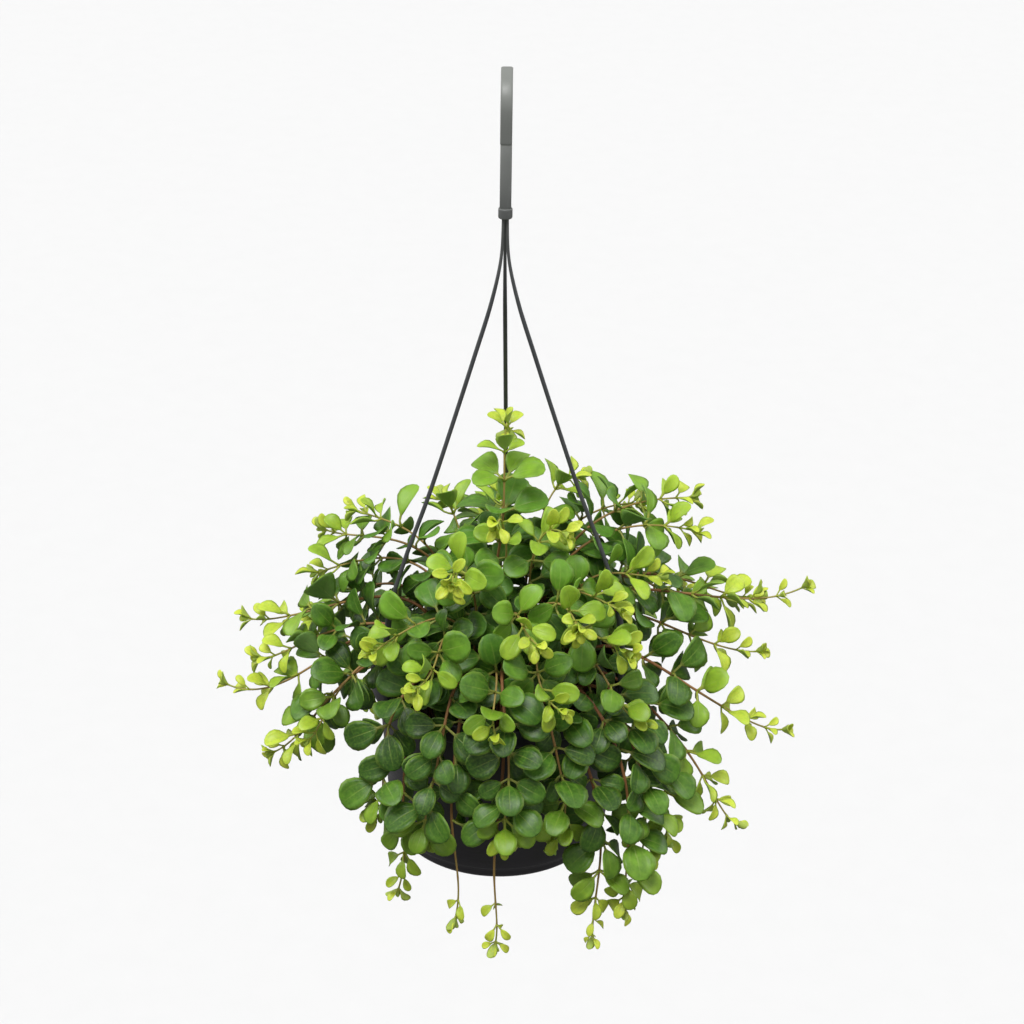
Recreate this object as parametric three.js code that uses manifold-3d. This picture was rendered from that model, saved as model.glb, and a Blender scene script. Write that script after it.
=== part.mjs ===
// A trailing peperomia with round green leaves in a dark hanging pot.
//
// The pot hangs by three thin strands from a flat plastic hook. Some fifty leafy stems stand in
// plain holes in the soil, arch over the rim and trail down round the pot. Only part of each
// stem's leaves is made here, enough to draw the form of the plant.
// Lengths are millimetres and angles are degrees. +Z is up, -Y is the front of the pot, and the
// origin is the inner top of the hook, where the part hangs on its rail.

import * as THREE from "three";
import { mergeVertices } from "three/addons/utils/BufferGeometryUtils.js";
import Module from "manifold-3d";

const wasm = await Module();
wasm.setup();

// The pot. Its heights are counted down from the top of the rim.
const RIM_Z = -368;
const POT_HEIGHT = 113;
const RIM_RADIUS = 78.5;
const RIM_BAND = 12;
const WALL_TOP_RADIUS = 73.5;
const WALL_FOOT_RADIUS = 66;
const WALL = 1.6;
const FOOT_HEIGHT = 7;
const FOOT_RADIUS = 62.5;
const FOOT_RECESS = 2.5;
const DRAIN_RING = 34;
const DRAIN_RADIUS = 1.8;
const DRAIN_HOLES = 5;
const POT_SIDES = 34;

// The soil stands a little below the rim.
const SOIL_DROP = 15;
const GAP = 0.3;
const HOLE_DEPTH = 10;
const HOLE_RADIUS = 2.1;

// The hook is a flat ribbon bent in one plane, with a collar that holds the three strands.
const HOOK_WIDTH = 6.5;
const HOOK_THICK = 4;
const HOOK_INNER_RADIUS = 17;
const HOOK_TIP_Z = -33;
const COLLAR_TOP = -76;
const COLLAR_BOTTOM = -82;
const COLLAR_RADIUS = 4;
const SOCKET_DEPTH = 4;

// The strands run from the collar to the rim, at the back and on either side of the front.
const STRAND_HEADINGS = { strand_back: 88, strand_left: 214, strand_right: 333 };
const STRAND_THIN = 0.8;
const STRAND_ROD = 1.25;
const STRAND_STRAP = 1.9;
const STRAND_START = 1.45;
const STRAND_CLIP = RIM_RADIUS + STRAND_STRAP + 0.3;
const LIP_DROP = 2.3;
const LIP_RADIUS = 1.6;

// The line of a strand as radius and height over the rim: straight out of its socket, flaring
// in a long double bend, and straight down over the rim band, with a short lip under the band.
const STRAND_LINE = [
  [STRAND_START, COLLAR_BOTTOM + SOCKET_DEPTH - GAP - RIM_Z],
  [STRAND_START, COLLAR_BOTTOM - 3 - RIM_Z],
  [2.6, 262],
  [8.5, 238],
  [20.5, 205],
  [36, 164],
  [50.5, 127],
  [66, 92],
  [75.5, 66],
  [79.6, 42],
  [STRAND_CLIP, 16],
  [STRAND_CLIP, -8],
  [STRAND_CLIP - 0.4, -RIM_BAND - 2.6],
];

// A stem. Its first line is turned a little at each further attempt until it is clear.
const STEM_RADIUS = 1;
const STEP = 2;
const TIP_CURL = 8;
const REACH_CURL = 0.3;
const WAVE = 3.2;
const STEMS_APART = 3.1;
const ROOTS_APART = 6.5;
const STEM_CLEAR = 1.8;
const ATTEMPTS = 26;
const SEED = 20;

// Its leaves stand in whorls of four, and each whorl is turned by an eighth of a circle against
// the one below. The orders give which quarter of a whorl comes first, second and so on.
const WHORL = 4;
const EVEN_ORDERS = [
  [0, 1, 2, 3],
  [0, 3, 2, 1],
];
const ODD_ORDERS = [
  [0, 3, 1, 2],
  [3, 0, 2, 1],
];
// The side of the three-sided stem that faces each quarter of a whorl best.
const SIDE_OF = [0, 1, 1, 2];
const PAIR_EVERY = 8;
// How far apart the whorls stand: on a bushy stem at its tip and where it is full grown, and the
// same on a trailing stem.
const BUSHY_SPACING = [8.5, 17];
const TRAILING_SPACING = [16, 20];
const SPACING_GROWTH = 36;
const BARE_STEM = 12;
const HIDDEN_STEM = 48;
const PLAIN_STEM = 30;
const NODE_HEIGHT = 2;
const RIPENING = 44;
const LEAF_LENGTH = 20.5;
const LEAF_ASPECT = 0.9;
const SMALL_LEAF = 13;
const FOOT_TURN = 0.14;
const LEAF_THICK = 1.4;
const LEAF_CUP = 0.09;
const LEAF_DROOP = 0.1;
const OBOVATE = 0.14;
const PETIOLE = 5.5;
const TURN_SPREAD = 14;
const ROLL_SPREAD = 24;
const PITCH_SPREAD = 22;
const OUTWARD = 0.7;
const WINDOW = new THREE.Vector3(0, -0.28, 0.8);
const LEAF_APART = 1.75;
const EDGE_APART = 1.5;
const LEAF_CLEAR = 1.3;
const STALK_SHARES = [0.22, 0.45, 0.72, 1];
// Stem points farther than this from a leaf's middle, or this near to its own node, aren't tested.
const FAR_AWAY = 20;
const OWN_NODE = 8;

// Two gaps in the curtain of leaves, where the pot's wall shows: the headings from and to, the
// lowest and highest place against the rim, and how far out from the axis.
const SHOWING = [
  [200, 234, -78, -2, 103],
  [246, 290, -112, -62, 112],
];

// Stems that draw the outline, placed by eye from the photograph. Each row is the heading, the
// radius of the root, the reach from the axis, the height of the tip over the rim, the height
// of the shoulder over the rim, the height of the last bend over the tip, and how long the
// young stretch with small leaves is.
const OUTLINE_STEMS = [
  [8, 30, 184, 42, 92, -8, 2.1],
  [352, 44, 172, -29, 70, 20, 2.1],
  [1, 38, 155, 8, 78, 14, 1.7],
  [343, 52, 150, -81, 48, 50, 2.5],
  [17, 34, 163, 24, 84, 24, 1.4],
  [23, 24, 124, 89, 104, 8, 1.1],
  [12, 20, 117, 79, 100, 12, 1.0],
  [38, 26, 108, 75, 90, 14, 1.0],
  [330, 54, 118, -81, 40, 84, 1.2],
  [318, 56, 117, -89, 44, 100, 1.4],
  [187, 36, 164, -7, 80, 8, 1.9],
  [173, 32, 153, 18, 88, 12, 1.5],
  [180, 42, 143, 8, 66, 22, 1.3],
  [199, 46, 141, -37, 62, 34, 1.4],
  [209, 52, 126, -18, 52, 40, 1.2],
  [157, 26, 117, 65, 90, 12, 1.0],
  [145, 24, 98, 81, 88, 6, 1.1],
  [168, 22, 113, 48, 88, 22, 0.9],
  [269, 54, 102, -131, 46, 138, 2.6],
  [302, 56, 111, -130, 38, 140, 2.1],
  [310, 50, 119, -112, 52, 128, 1.3],
  [290, 54, 103, -64, 42, 94, 1.1],
  [236, 56, 103, -106, 38, 118, 2.0],
  [229, 50, 106, -56, 52, 88, 0.8],
  [248, 46, 105, -64, 56, 94, 0.8],
  [274, 44, 106, -56, 64, 98, 0.9],
  [256, 56, 101, -116, 42, 128, 2.0],
  [60, -12, 12, 152, 70, 26, 1.2],
  [42, 22, 68, 101, 84, 8, 1.0],
  [128, 26, 62, 86, 74, 8, 0.9],
];

// The rest of the plant: stems that trail down the back, and a mound of short ones over the
// soil.
const BACK_STEMS = [
  [52, 54, 128, -32, 50, 66, 1.2],
  [70, 50, 112, -86, 52, 104, 1.3],
  [92, 54, 104, -116, 44, 124, 1.5],
  [112, 48, 116, -54, 60, 80, 1.1],
  [131, 54, 122, -84, 48, 92, 1.4],
  [35, 44, 140, 4, 66, 34, 1.2],
  [150, 46, 134, -10, 64, 44, 1.2],
  [100, 30, 108, 44, 84, 32, 1.0],
  [76, 34, 118, 18, 78, 44, 1.0],
];
const MOUND_STEMS = [
  [226, 34, 100, 48, 84, 6, 0.9],
  [248, 26, 70, 90, 84, 4, 0.8],
  [284, 34, 92, 64, 84, 6, 1.0],
  [301, 30, 89, 68, 80, 6, 0.8],
  [315, 38, 100, 48, 78, 8, 0.9],
  [288, 44, 106, 29, 64, 14, 0.9],
  [266, 40, 107, 16, 64, 22, 0.8],
  [263, 12, 32, 112, 70, 4, 0.8],
  [318, 18, 47, 106, 74, 4, 0.8],
  [356, 34, 92, 65, 80, 8, 1.0],
  [246, 40, 104, 37, 70, 12, 0.9],
  [319, 46, 108, 4, 60, 30, 1.0],
  [318, 30, 88, 70, 84, 6, 0.9],
  [95, 26, 64, 84, 76, 8, 0.9],
];

const COLOURS = {
  plastic: 0x2d2c2e,
  hanger: 0x4a4c4e,
  soil: 0x2b211a,
  leaf: 0x4f8f24,
};

const radians = THREE.MathUtils.degToRad;
const smooth = (x) => THREE.MathUtils.smoothstep(x, 0, 1);
const UP = new THREE.Vector3(0, 0, 1);

// A number from 0 to 1 that depends only on its keys, so that a change to one leaf leaves the
// others where they are.
function draw(...keys) {
  let h = SEED;
  for (const key of keys) {
    h = Math.imul(h ^ (key + 0x9e3779b9), 0x85ebca6b);
    h ^= h >>> 13;
    h = Math.imul(h, 0xc2b2ae35);
    h ^= h >>> 16;
  }
  return (h >>> 0) / 2 ** 32;
}

// A number from -1 to 1.
const spread = (...keys) => 2 * draw(...keys) - 1;

// A geometry with its shared corners merged and its collapsed faces dropped, as a solid.
function solid(geometry) {
  const bare = geometry.clone();
  bare.deleteAttribute("normal");
  bare.deleteAttribute("uv");
  const merged = mergeVertices(bare, 1e-4);
  const faces = [];
  const index = merged.index.array;
  for (let i = 0; i < index.length; i += 3) {
    const [a, b, c] = index.slice(i, i + 3);
    if (a !== b && b !== c && c !== a) faces.push(a, b, c);
  }
  return new wasm.Manifold(
    new wasm.Mesh({
      numProp: 3,
      vertProperties: merged.attributes.position.array,
      triVerts: new Uint32Array(faces),
    }),
  );
}

function geometryOf(made) {
  const mesh = made.getMesh();
  const geometry = new THREE.BufferGeometry();
  const place = new THREE.BufferAttribute(new Float32Array(mesh.vertProperties), 3);
  geometry.setAttribute("position", place);
  geometry.setIndex(new THREE.BufferAttribute(new Uint32Array(mesh.triVerts), 1));
  geometry.computeVertexNormals();
  return geometry;
}

function part(name, made, colour, roughness) {
  const material = new THREE.MeshStandardMaterial({ color: colour, roughness, metalness: 0 });
  const mesh = new THREE.Mesh(geometryOf(made), material);
  mesh.name = name;
  return mesh;
}

// A closed skin through rings of points, each ring with the same number of corners.
function loft(rings) {
  const sides = rings[0].length;
  const points = rings.flat();
  const faces = [];
  rings.slice(1).forEach((ring, i) => {
    for (let j = 0; j < sides; j++) {
      const next = (j + 1) % sides;
      const [a, b] = [i * sides + j, i * sides + next];
      faces.push(a, b, b + sides, a, b + sides, a + sides);
    }
  });
  const last = (rings.length - 1) * sides;
  for (let j = 1; j < sides - 1; j++) {
    faces.push(0, j + 1, j, last, last + j, last + j + 1);
  }
  return skin(points, faces);
}

function skin(points, faces) {
  const geometry = new THREE.BufferGeometry().setFromPoints(points);
  geometry.setIndex(faces);
  return geometry;
}

// A ring of corners round a point, square to a direction.
function ringAt(centre, direction, radius, sides, across = UP) {
  const u = new THREE.Vector3().crossVectors(across, direction).normalize();
  const v = new THREE.Vector3().crossVectors(direction, u).normalize();
  return Array.from({ length: sides }, (_, k) => {
    const turn = (2 * Math.PI * (k + 0.5)) / sides;
    return centre
      .clone()
      .addScaledVector(u, radius * Math.cos(turn))
      .addScaledVector(v, radius * Math.sin(turn));
  });
}

// A rod along points, whose radius is given for each point.
function rod(points, radii, sides, across) {
  const rings = points.map((point, i) => {
    const before = points[Math.max(0, i - 1)];
    const after = points[Math.min(points.length - 1, i + 1)];
    const direction = new THREE.Vector3().subVectors(after, before).normalize();
    return ringAt(point, direction, radii[i], sides, across);
  });
  return solid(loft(rings));
}

// A round piece from its outline of radius and height, turned about the Z axis.
function turned(outline, sides = POT_SIDES) {
  const points = outline.map(([r, z]) => new THREE.Vector2(r, z));
  return solid(new THREE.LatheGeometry(points, sides).rotateX(Math.PI / 2));
}

function peg(x, y, bottom, top, radius, sides) {
  const shape = new THREE.CylinderGeometry(radius, radius, top - bottom, sides);
  shape.rotateX(Math.PI / 2);
  shape.translate(x, y, (top + bottom) / 2);
  return solid(shape);
}

function polar(radius, heading, z) {
  const turn = radians(heading);
  return new THREE.Vector3(radius * Math.cos(turn), radius * Math.sin(turn), z);
}

// The outer radius of the pot's wall at a depth below the rim.
function wallRadius(depth) {
  const share = (depth - RIM_BAND) / (POT_HEIGHT - RIM_BAND);
  return WALL_TOP_RADIUS + (WALL_FOOT_RADIUS - WALL_TOP_RADIUS) * share;
}

// A thin moulded shell with a band round its rim, a rounded lower edge and a foot ring.
function makePot() {
  const base = -POT_HEIGHT;
  const foot = base + FOOT_HEIGHT;
  const outline = [
    [0, base + FOOT_RECESS],
    [FOOT_RADIUS - 7, base + FOOT_RECESS],
    [FOOT_RADIUS - 6, base],
    [FOOT_RADIUS - 1, base],
    [FOOT_RADIUS + 0.6, base + 2],
    [FOOT_RADIUS + 0.8, foot - 1.4],
    [wallRadius(-foot) - 2.2, foot],
    [wallRadius(-foot) - 0.4, foot + 1.6],
    [wallRadius(-foot - 6), foot + 6],
    [WALL_TOP_RADIUS, -RIM_BAND],
    [RIM_RADIUS - 0.5, -RIM_BAND],
    [RIM_RADIUS, -RIM_BAND + 1.2],
    [RIM_RADIUS, -1],
    [RIM_RADIUS - 1, 0],
    [RIM_RADIUS - 2.4, 0],
    [WALL_TOP_RADIUS - WALL, -3],
    [WALL_TOP_RADIUS - WALL - 0.4, -RIM_BAND - 2],
    [wallRadius(-foot - 6) - WALL, foot + 6],
    [wallRadius(-foot) - WALL - 3, foot + 1.2],
    [FOOT_RADIUS - 5, base + FOOT_RECESS + WALL],
    [0, base + FOOT_RECESS + WALL],
  ].map(([r, z]) => [r, RIM_Z + z]);
  let pot = turned(outline);
  for (let i = 0; i < DRAIN_HOLES; i++) {
    const at = polar(DRAIN_RING, (360 * i) / DRAIN_HOLES + 18, 0);
    const floor = RIM_Z + base;
    pot = pot.subtract(peg(at.x, at.y, floor - 1, floor + 8, DRAIN_RADIUS, 8));
  }
  return pot;
}

// Potting soil that fills the pot, with a plain hole for each stem.
function makeSoil(stems) {
  const base = -POT_HEIGHT;
  const foot = base + FOOT_HEIGHT;
  const outline = [
    [0, base + FOOT_RECESS + WALL + GAP],
    [FOOT_RADIUS - 6, base + FOOT_RECESS + WALL + GAP],
    [wallRadius(-foot - 6) - WALL - GAP - 0.4, foot + 6],
    [wallRadius(SOIL_DROP) - WALL - GAP - 0.5, -SOIL_DROP - 1],
    [wallRadius(SOIL_DROP) - WALL - GAP - 3, -SOIL_DROP],
    [0, -SOIL_DROP],
  ].map(([r, z]) => [r, RIM_Z + z]);
  const top = RIM_Z - SOIL_DROP;
  const holes = stems.map(({ root }) =>
    peg(root.x, root.y, top - HOLE_DEPTH, top + 1, HOLE_RADIUS, 4),
  );
  return turned(outline).subtract(wasm.Manifold.union(holes));
}

// The middle line of the ribbon in the plane of Y and Z: from the collar it bows back, turns
// over the top in a half circle and comes down in front to the tip.
function hookLine() {
  const middle = HOOK_INNER_RADIUS + HOOK_THICK / 2;
  const centre = -HOOK_INNER_RADIUS;
  const points = [
    [0, COLLAR_TOP - 1],
    [1, COLLAR_TOP + 8],
    [middle * 0.32, centre - 36],
    [middle * 0.84, centre - 16],
  ];
  for (let turn = 0; turn <= 180; turn += 18) {
    const a = radians(turn);
    points.push([middle * Math.cos(a), centre + middle * Math.sin(a)]);
  }
  points.push([-middle, HOOK_TIP_Z]);
  const line = new THREE.CatmullRomCurve3(points.map(([y, z]) => new THREE.Vector3(0, y, z)));
  return line.getSpacedPoints(22);
}

// The flat ribbon with rounded corners, joined to its round collar, less the three sockets.
function makeHook() {
  const line = hookLine();
  const rings = line.map((point, i) => {
    const before = line[Math.max(0, i - 1)];
    const after = line[Math.min(line.length - 1, i + 1)];
    const along = new THREE.Vector3().subVectors(after, before).normalize();
    const out = new THREE.Vector3(0, along.z, -along.y);
    const [w, t, c] = [HOOK_WIDTH / 2, HOOK_THICK / 2, 0.8];
    const corners = [
      [w, t - c],
      [w - c, t],
      [c - w, t],
      [-w, t - c],
      [-w, c - t],
      [c - w, -t],
      [w - c, -t],
      [w, c - t],
    ];
    return corners.map(([x, o]) => point.clone().addScaledVector(out, o).setX(point.x + x));
  });
  const ribbon = solid(loft(rings));
  const collar = turned(
    [
      [0, COLLAR_BOTTOM],
      [COLLAR_RADIUS - 0.6, COLLAR_BOTTOM],
      [COLLAR_RADIUS, COLLAR_BOTTOM + 0.6],
      [COLLAR_RADIUS, COLLAR_TOP - 0.8],
      [COLLAR_RADIUS - 0.8, COLLAR_TOP],
      [0, COLLAR_TOP],
    ],
    20,
  );
  const sockets = Object.values(STRAND_HEADINGS).map((heading) => {
    const at = polar(STRAND_START, heading, 0);
    const top = COLLAR_BOTTOM + SOCKET_DEPTH;
    return peg(at.x, at.y, COLLAR_BOTTOM - 1, top, STRAND_THIN + GAP, 8);
  });
  return ribbon.add(collar).subtract(wasm.Manifold.union(sockets));
}

function strandPoints(heading, count) {
  const line = STRAND_LINE.map(([r, z]) => polar(r, heading, RIM_Z + z));
  return new THREE.CatmullRomCurve3(line, false, "centripetal").getSpacedPoints(count);
}

function strandRadius(z) {
  const over = z - RIM_Z;
  const thick = smooth((COLLAR_BOTTOM - RIM_Z - over) / 70);
  const strap = smooth((74 - over) / 22);
  return STRAND_THIN + (STRAND_ROD - STRAND_THIN) * thick + (STRAND_STRAP - STRAND_ROD) * strap;
}

function makeStrand(heading) {
  const points = strandPoints(heading, 24);
  const across = polar(1, heading + 90, 0);
  const radii = points.map((point) => strandRadius(point.z));
  const strand = rod(points, radii, 6, across);
  const z = RIM_Z - RIM_BAND - LIP_DROP;
  const lip = [STRAND_CLIP, WALL_TOP_RADIUS + 1.2].map((r) => polar(r, heading, z));
  return strand.add(rod(lip, [LIP_RADIUS, LIP_RADIUS], 6, UP.clone().add(across)));
}

// The line of a stem above the soil, in steps of 2 mm: a Bezier curve that leaves the soil
// upright, passes over the shoulder and comes to the tip, which turns up, and more so on stems
// that reach far.
function stemLine(row, number, attempt) {
  const [heading, rootRadius, reach, tip, shoulder, bend] = row;
  const aim = heading + 4 * attempt * spread(number, attempt, 1);
  const foot = aim + 16 * spread(number, attempt, 2);
  const sway = 6 * spread(number, attempt, 3);
  const lean = 0.68 + 0.37 * Math.min(1, bend / 100);
  const curl = TIP_CURL + REACH_CURL * Math.max(0, reach - 100);
  const root = polar(rootRadius + attempt * spread(number, attempt, 4), foot, RIM_Z - SOIL_DROP);
  const curve = new THREE.CubicBezierCurve3(
    root,
    root.clone().setZ(RIM_Z + shoulder),
    polar(reach * lean, aim - sway, RIM_Z + tip + bend),
    polar(reach, aim, RIM_Z + tip - curl),
  );
  const count = Math.round(curve.getLength() / STEP);
  const side = polar(1, aim + 90, 0);
  return curve.getSpacedPoints(count).map((point, i) => {
    const share = i / count;
    const wave = WAVE * Math.sin(9 * share + 6 * draw(number, 5)) * share;
    point.addScaledVector(side, wave);
    point.z += curl * share ** 6;
    return point;
  });
}

// True where a ball round the point would touch the pot or the soil.
function hitsPot(point, margin) {
  const depth = RIM_Z - point.z;
  const radius = Math.hypot(point.x, point.y);
  if (depth < -margin || depth > POT_HEIGHT + margin) return false;
  const outside = depth < RIM_BAND + margin ? RIM_RADIUS : wallRadius(depth);
  if (radius > outside + margin) return false;
  return radius > WALL_TOP_RADIUS - 3 - margin || depth > SOIL_DROP - margin;
}

function nearAny(point, others, distance) {
  return others.some((other) => point.distanceToSquared(other) < distance * distance);
}

// All the stems, each turned a little until it is clear of the strands and of those before it.
function growStems(strands) {
  const taken = strands.flat();
  const stems = [];
  [...OUTLINE_STEMS, ...BACK_STEMS, ...MOUND_STEMS].forEach((row, number) => {
    for (let attempt = 0; attempt < ATTEMPTS; attempt++) {
      const line = stemLine(row, number, attempt);
      const free = line.slice(4);
      const blocked =
        nearAny(line[0], stems.map((stem) => stem.root), ROOTS_APART) ||
        line.some((point) => nearAny(point, taken, STEMS_APART)) ||
        free.some((point) => hitsPot(point, STEM_CLEAR));
      if (blocked) continue;
      taken.push(...line);
      stems.push({ number, line, root: line[0], young: row[6] });
      return;
    }
  });
  return stems;
}

// 0 for a short bushy stem and 1 for a long trailing one.
const looseness = (stem) => smooth((stem.young - 0.9) / 0.9);

// Where the whorls of leaves stand, as distances back from the tip: close together in the tip
// of a bushy stem, and wide apart all along a trailing one.
function whorlsOf(stem) {
  const length = (stem.line.length - 1) * STEP;
  const loose = looseness(stem);
  const places = [];
  let back = 0;
  while (back < length - BARE_STEM) {
    places.push(back);
    const grown = Math.min(1, back / SPACING_GROWTH);
    const between = ([young, old]) => young + (old - young) * grown;
    back += between(BUSHY_SPACING) * (1 - loose) + between(TRAILING_SPACING) * loose;
  }
  return places;
}

// 0 at the very tip and 1 where the leaves are full grown.
const ripeness = (stem, back) => smooth((back + 2) / (RIPENING * stem.young));

// A place on the stem: its middle, the direction of growth, and two directions round it, of
// which the first faces the light. Stems grow towards the sky, the window and their own side.
function frameAt(stem, back) {
  const at = stem.line.length - 1 - back / STEP;
  const low = Math.floor(at);
  const node = stem.line[low].clone();
  if (low + 1 < stem.line.length) node.lerp(stem.line[low + 1], at - low);
  const before = stem.line[Math.max(0, low - 2)];
  const after = stem.line[Math.min(stem.line.length - 1, low + 2)];
  const along = new THREE.Vector3().subVectors(after, before).normalize();
  const outward = new THREE.Vector3(node.x, node.y, 0);
  outward.multiplyScalar(OUTWARD / Math.max(60, outward.length()));
  const light = outward.add(WINDOW).normalize();
  const first = light.clone().addScaledVector(along, -light.dot(along)).normalize();
  const second = new THREE.Vector3().crossVectors(along, first);
  return { node, along, light, first, second };
}

function whorlOrder(whorl) {
  return (whorl % 2 ? ODD_ORDERS : EVEN_ORDERS)[Math.floor(whorl / 2) % 2];
}

// A leaf's place: its node on the stem, the foot of its blade, and the blade's own axes, along,
// across and out of its upper face. A ripe blade turns its face to the light, and a young one
// stands up along the stem.
function placeLeaf(stem, whorl, back, quarter, attempt) {
  const key = [stem.number, whorl, quarter, attempt];
  const { node, along, light, first, second } = frameAt(stem, back);
  const ripe = ripeness(stem, back);
  const start = whorl % 2 ? 45 : 0;
  const turn = radians(start + (360 / WHORL) * quarter + (TURN_SPREAD + attempt) * spread(...key, 1));
  const side = first.multiplyScalar(Math.cos(turn)).addScaledVector(second, Math.sin(turn));
  const small = 0.48 - 0.14 * looseness(stem);
  const grown = LEAF_LENGTH * (small + (1 - small) * ripe);
  const size = grown * (1 + 0.15 * spread(...key, 2)) * (1 - 0.011 * attempt);
  const rise = 0.45 + 0.3 * spread(...key, 3) + 0.7 * (1 - ripe);
  const stalk = side.clone().addScaledVector(along, rise).normalize();
  const reach = 1 + ((PETIOLE * size) / LEAF_LENGTH) * (1 + 0.3 * spread(...key, 4));
  const foot = node.clone().addScaledVector(stalk, reach);
  const blade = stalk.clone().multiplyScalar(1.25);
  blade.addScaledVector(light, -0.75 * ripe * light.dot(stalk)).normalize();
  const face = light.clone().addScaledVector(blade, -light.dot(blade)).normalize();
  const across = new THREE.Vector3().crossVectors(face, blade);
  across.applyAxisAngle(blade, radians((ROLL_SPREAD + attempt) * spread(...key, 5)));
  blade.applyAxisAngle(across, radians((PITCH_SPREAD + attempt) * spread(...key, 6)));
  face.crossVectors(blade, across);
  const width = size * LEAF_ASPECT * (0.7 + 0.3 * ripe) * (1 + 0.08 * spread(...key, 7));
  return { stem, whorl, quarter, node, foot, blade, across, face, length: size, width };
}

// How far the leaf's middle surface stands over its flat plane, at a share along from -1 at the
// foot to 1 at the tip and a share across: the sides rise and the tip turns down.
function lift(leaf, along, across) {
  return leaf.length * (LEAF_CUP * across * across - LEAF_DROOP * (along + 0.2) ** 2 + 0.064);
}

// A point of the leaf at a turn round the blade's middle and a share of the way to its edge.
// The outline is an oval that is widest past its middle.
function bladePoint(leaf, turn, share, over = 0) {
  const along = -Math.cos(turn) * share;
  const across = Math.sin(turn) * share * (1 + OBOVATE * along);
  return leaf.foot
    .clone()
    .addScaledVector(leaf.blade, ((1 + along) * leaf.length) / 2)
    .addScaledVector(leaf.across, (across * leaf.width) / 2)
    .addScaledVector(leaf.face, lift(leaf, along, across) + over);
}

// Test points of a leaf: its edge, a ring inside it and its stalk.
function leafSamples(leaf) {
  const ring = (count, share) =>
    Array.from({ length: count }, (_, i) =>
      bladePoint(leaf, (2 * Math.PI * (i + 0.5)) / count, share),
    );
  const stalk = STALK_SHARES.map((share) => leaf.node.clone().lerp(leaf.foot, share));
  return [...ring(22, 1), ...ring(6, 0.5), ...stalk];
}

// True where a point comes within a distance of the blade, whose edge is widened by a margin.
function nearBlade(point, leaf, distance, margin) {
  const from = point.clone().sub(leaf.foot);
  const along = from.dot(leaf.blade) / (leaf.length / 2) - 1;
  const across = from.dot(leaf.across) / (leaf.width / 2);
  const height = from.dot(leaf.face) - lift(leaf, along, across);
  const edge = 1 + margin / (leaf.width / 2);
  return along * along + across * across < edge * edge && Math.abs(height) < distance;
}

function leavesTouch(a, b) {
  const apart = (a.length + b.length) / 2 + 9;
  if (a.foot.distanceToSquared(b.foot) > apart * apart * 2) return false;
  return (
    a.samples.some((point) => nearBlade(point, b, LEAF_APART, EDGE_APART)) ||
    b.samples.some((point) => nearBlade(point, a, LEAF_APART, EDGE_APART))
  );
}

function leafBlocked(leaf, leaves, lines) {
  leaf.samples = leafSamples(leaf);
  if (leaf.samples.some((point) => hitsPot(point, LEAF_CLEAR))) return true;
  const centre = bladePoint(leaf, 0, 0);
  for (const { owner, points, radius } of lines) {
    for (const point of points) {
      if (point.distanceTo(centre) > FAR_AWAY) continue;
      if (owner === leaf.stem && point.distanceTo(leaf.node) < OWN_NODE) continue;
      if (nearBlade(point, leaf, radius + 1.2, radius + 0.4)) return true;
      if (owner === leaf.stem) continue;
      const stalk = leaf.samples.slice(-STALK_SHARES.length);
      if (nearAny(point, stalk, radius + LEAF_CLEAR)) return true;
    }
  }
  return leaves.some((other) => leavesTouch(leaf, other));
}

// True where a whorl would hide the pot's wall.
function showsPot(stem, back) {
  const { x, y, z } = frameAt(stem, back).node;
  const heading = (THREE.MathUtils.radToDeg(Math.atan2(y, x)) + 360) % 360;
  const over = z - RIM_Z;
  return SHOWING.some(
    ([from, to, low, high, reach]) =>
      from < heading && heading < to && low < over && over < high && Math.hypot(x, y) < reach,
  );
}

// How many leaves of a whorl are made here, and none deep inside the plant.
function whorlSize(stem, whorl, back) {
  if (back > stem.line.length * STEP - HIDDEN_STEM || showsPot(stem, back)) return 0;
  return whorl % PAIR_EVERY === 2 ? 2 : 1;
}

// The leaves of all the stems, each tried in several ways until it is clear of the rest.
function growLeaves(stems, strands) {
  const lines = [
    ...stems.map((stem) => ({ owner: stem, points: stem.line, radius: STEM_RADIUS })),
    ...strands.map((points) => ({ owner: null, points, radius: STRAND_STRAP })),
  ];
  const leaves = [];
  for (const stem of stems) {
    whorlsOf(stem).forEach((back, whorl) => {
      for (const quarter of whorlOrder(whorl).slice(0, whorlSize(stem, whorl, back))) {
        for (let attempt = 0; attempt < ATTEMPTS; attempt++) {
          const leaf = placeLeaf(stem, whorl, back, quarter, attempt);
          if (leafBlocked(leaf, leaves, lines)) continue;
          leaves.push(leaf);
          break;
        }
      }
    });
  }
  return leaves;
}

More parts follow.
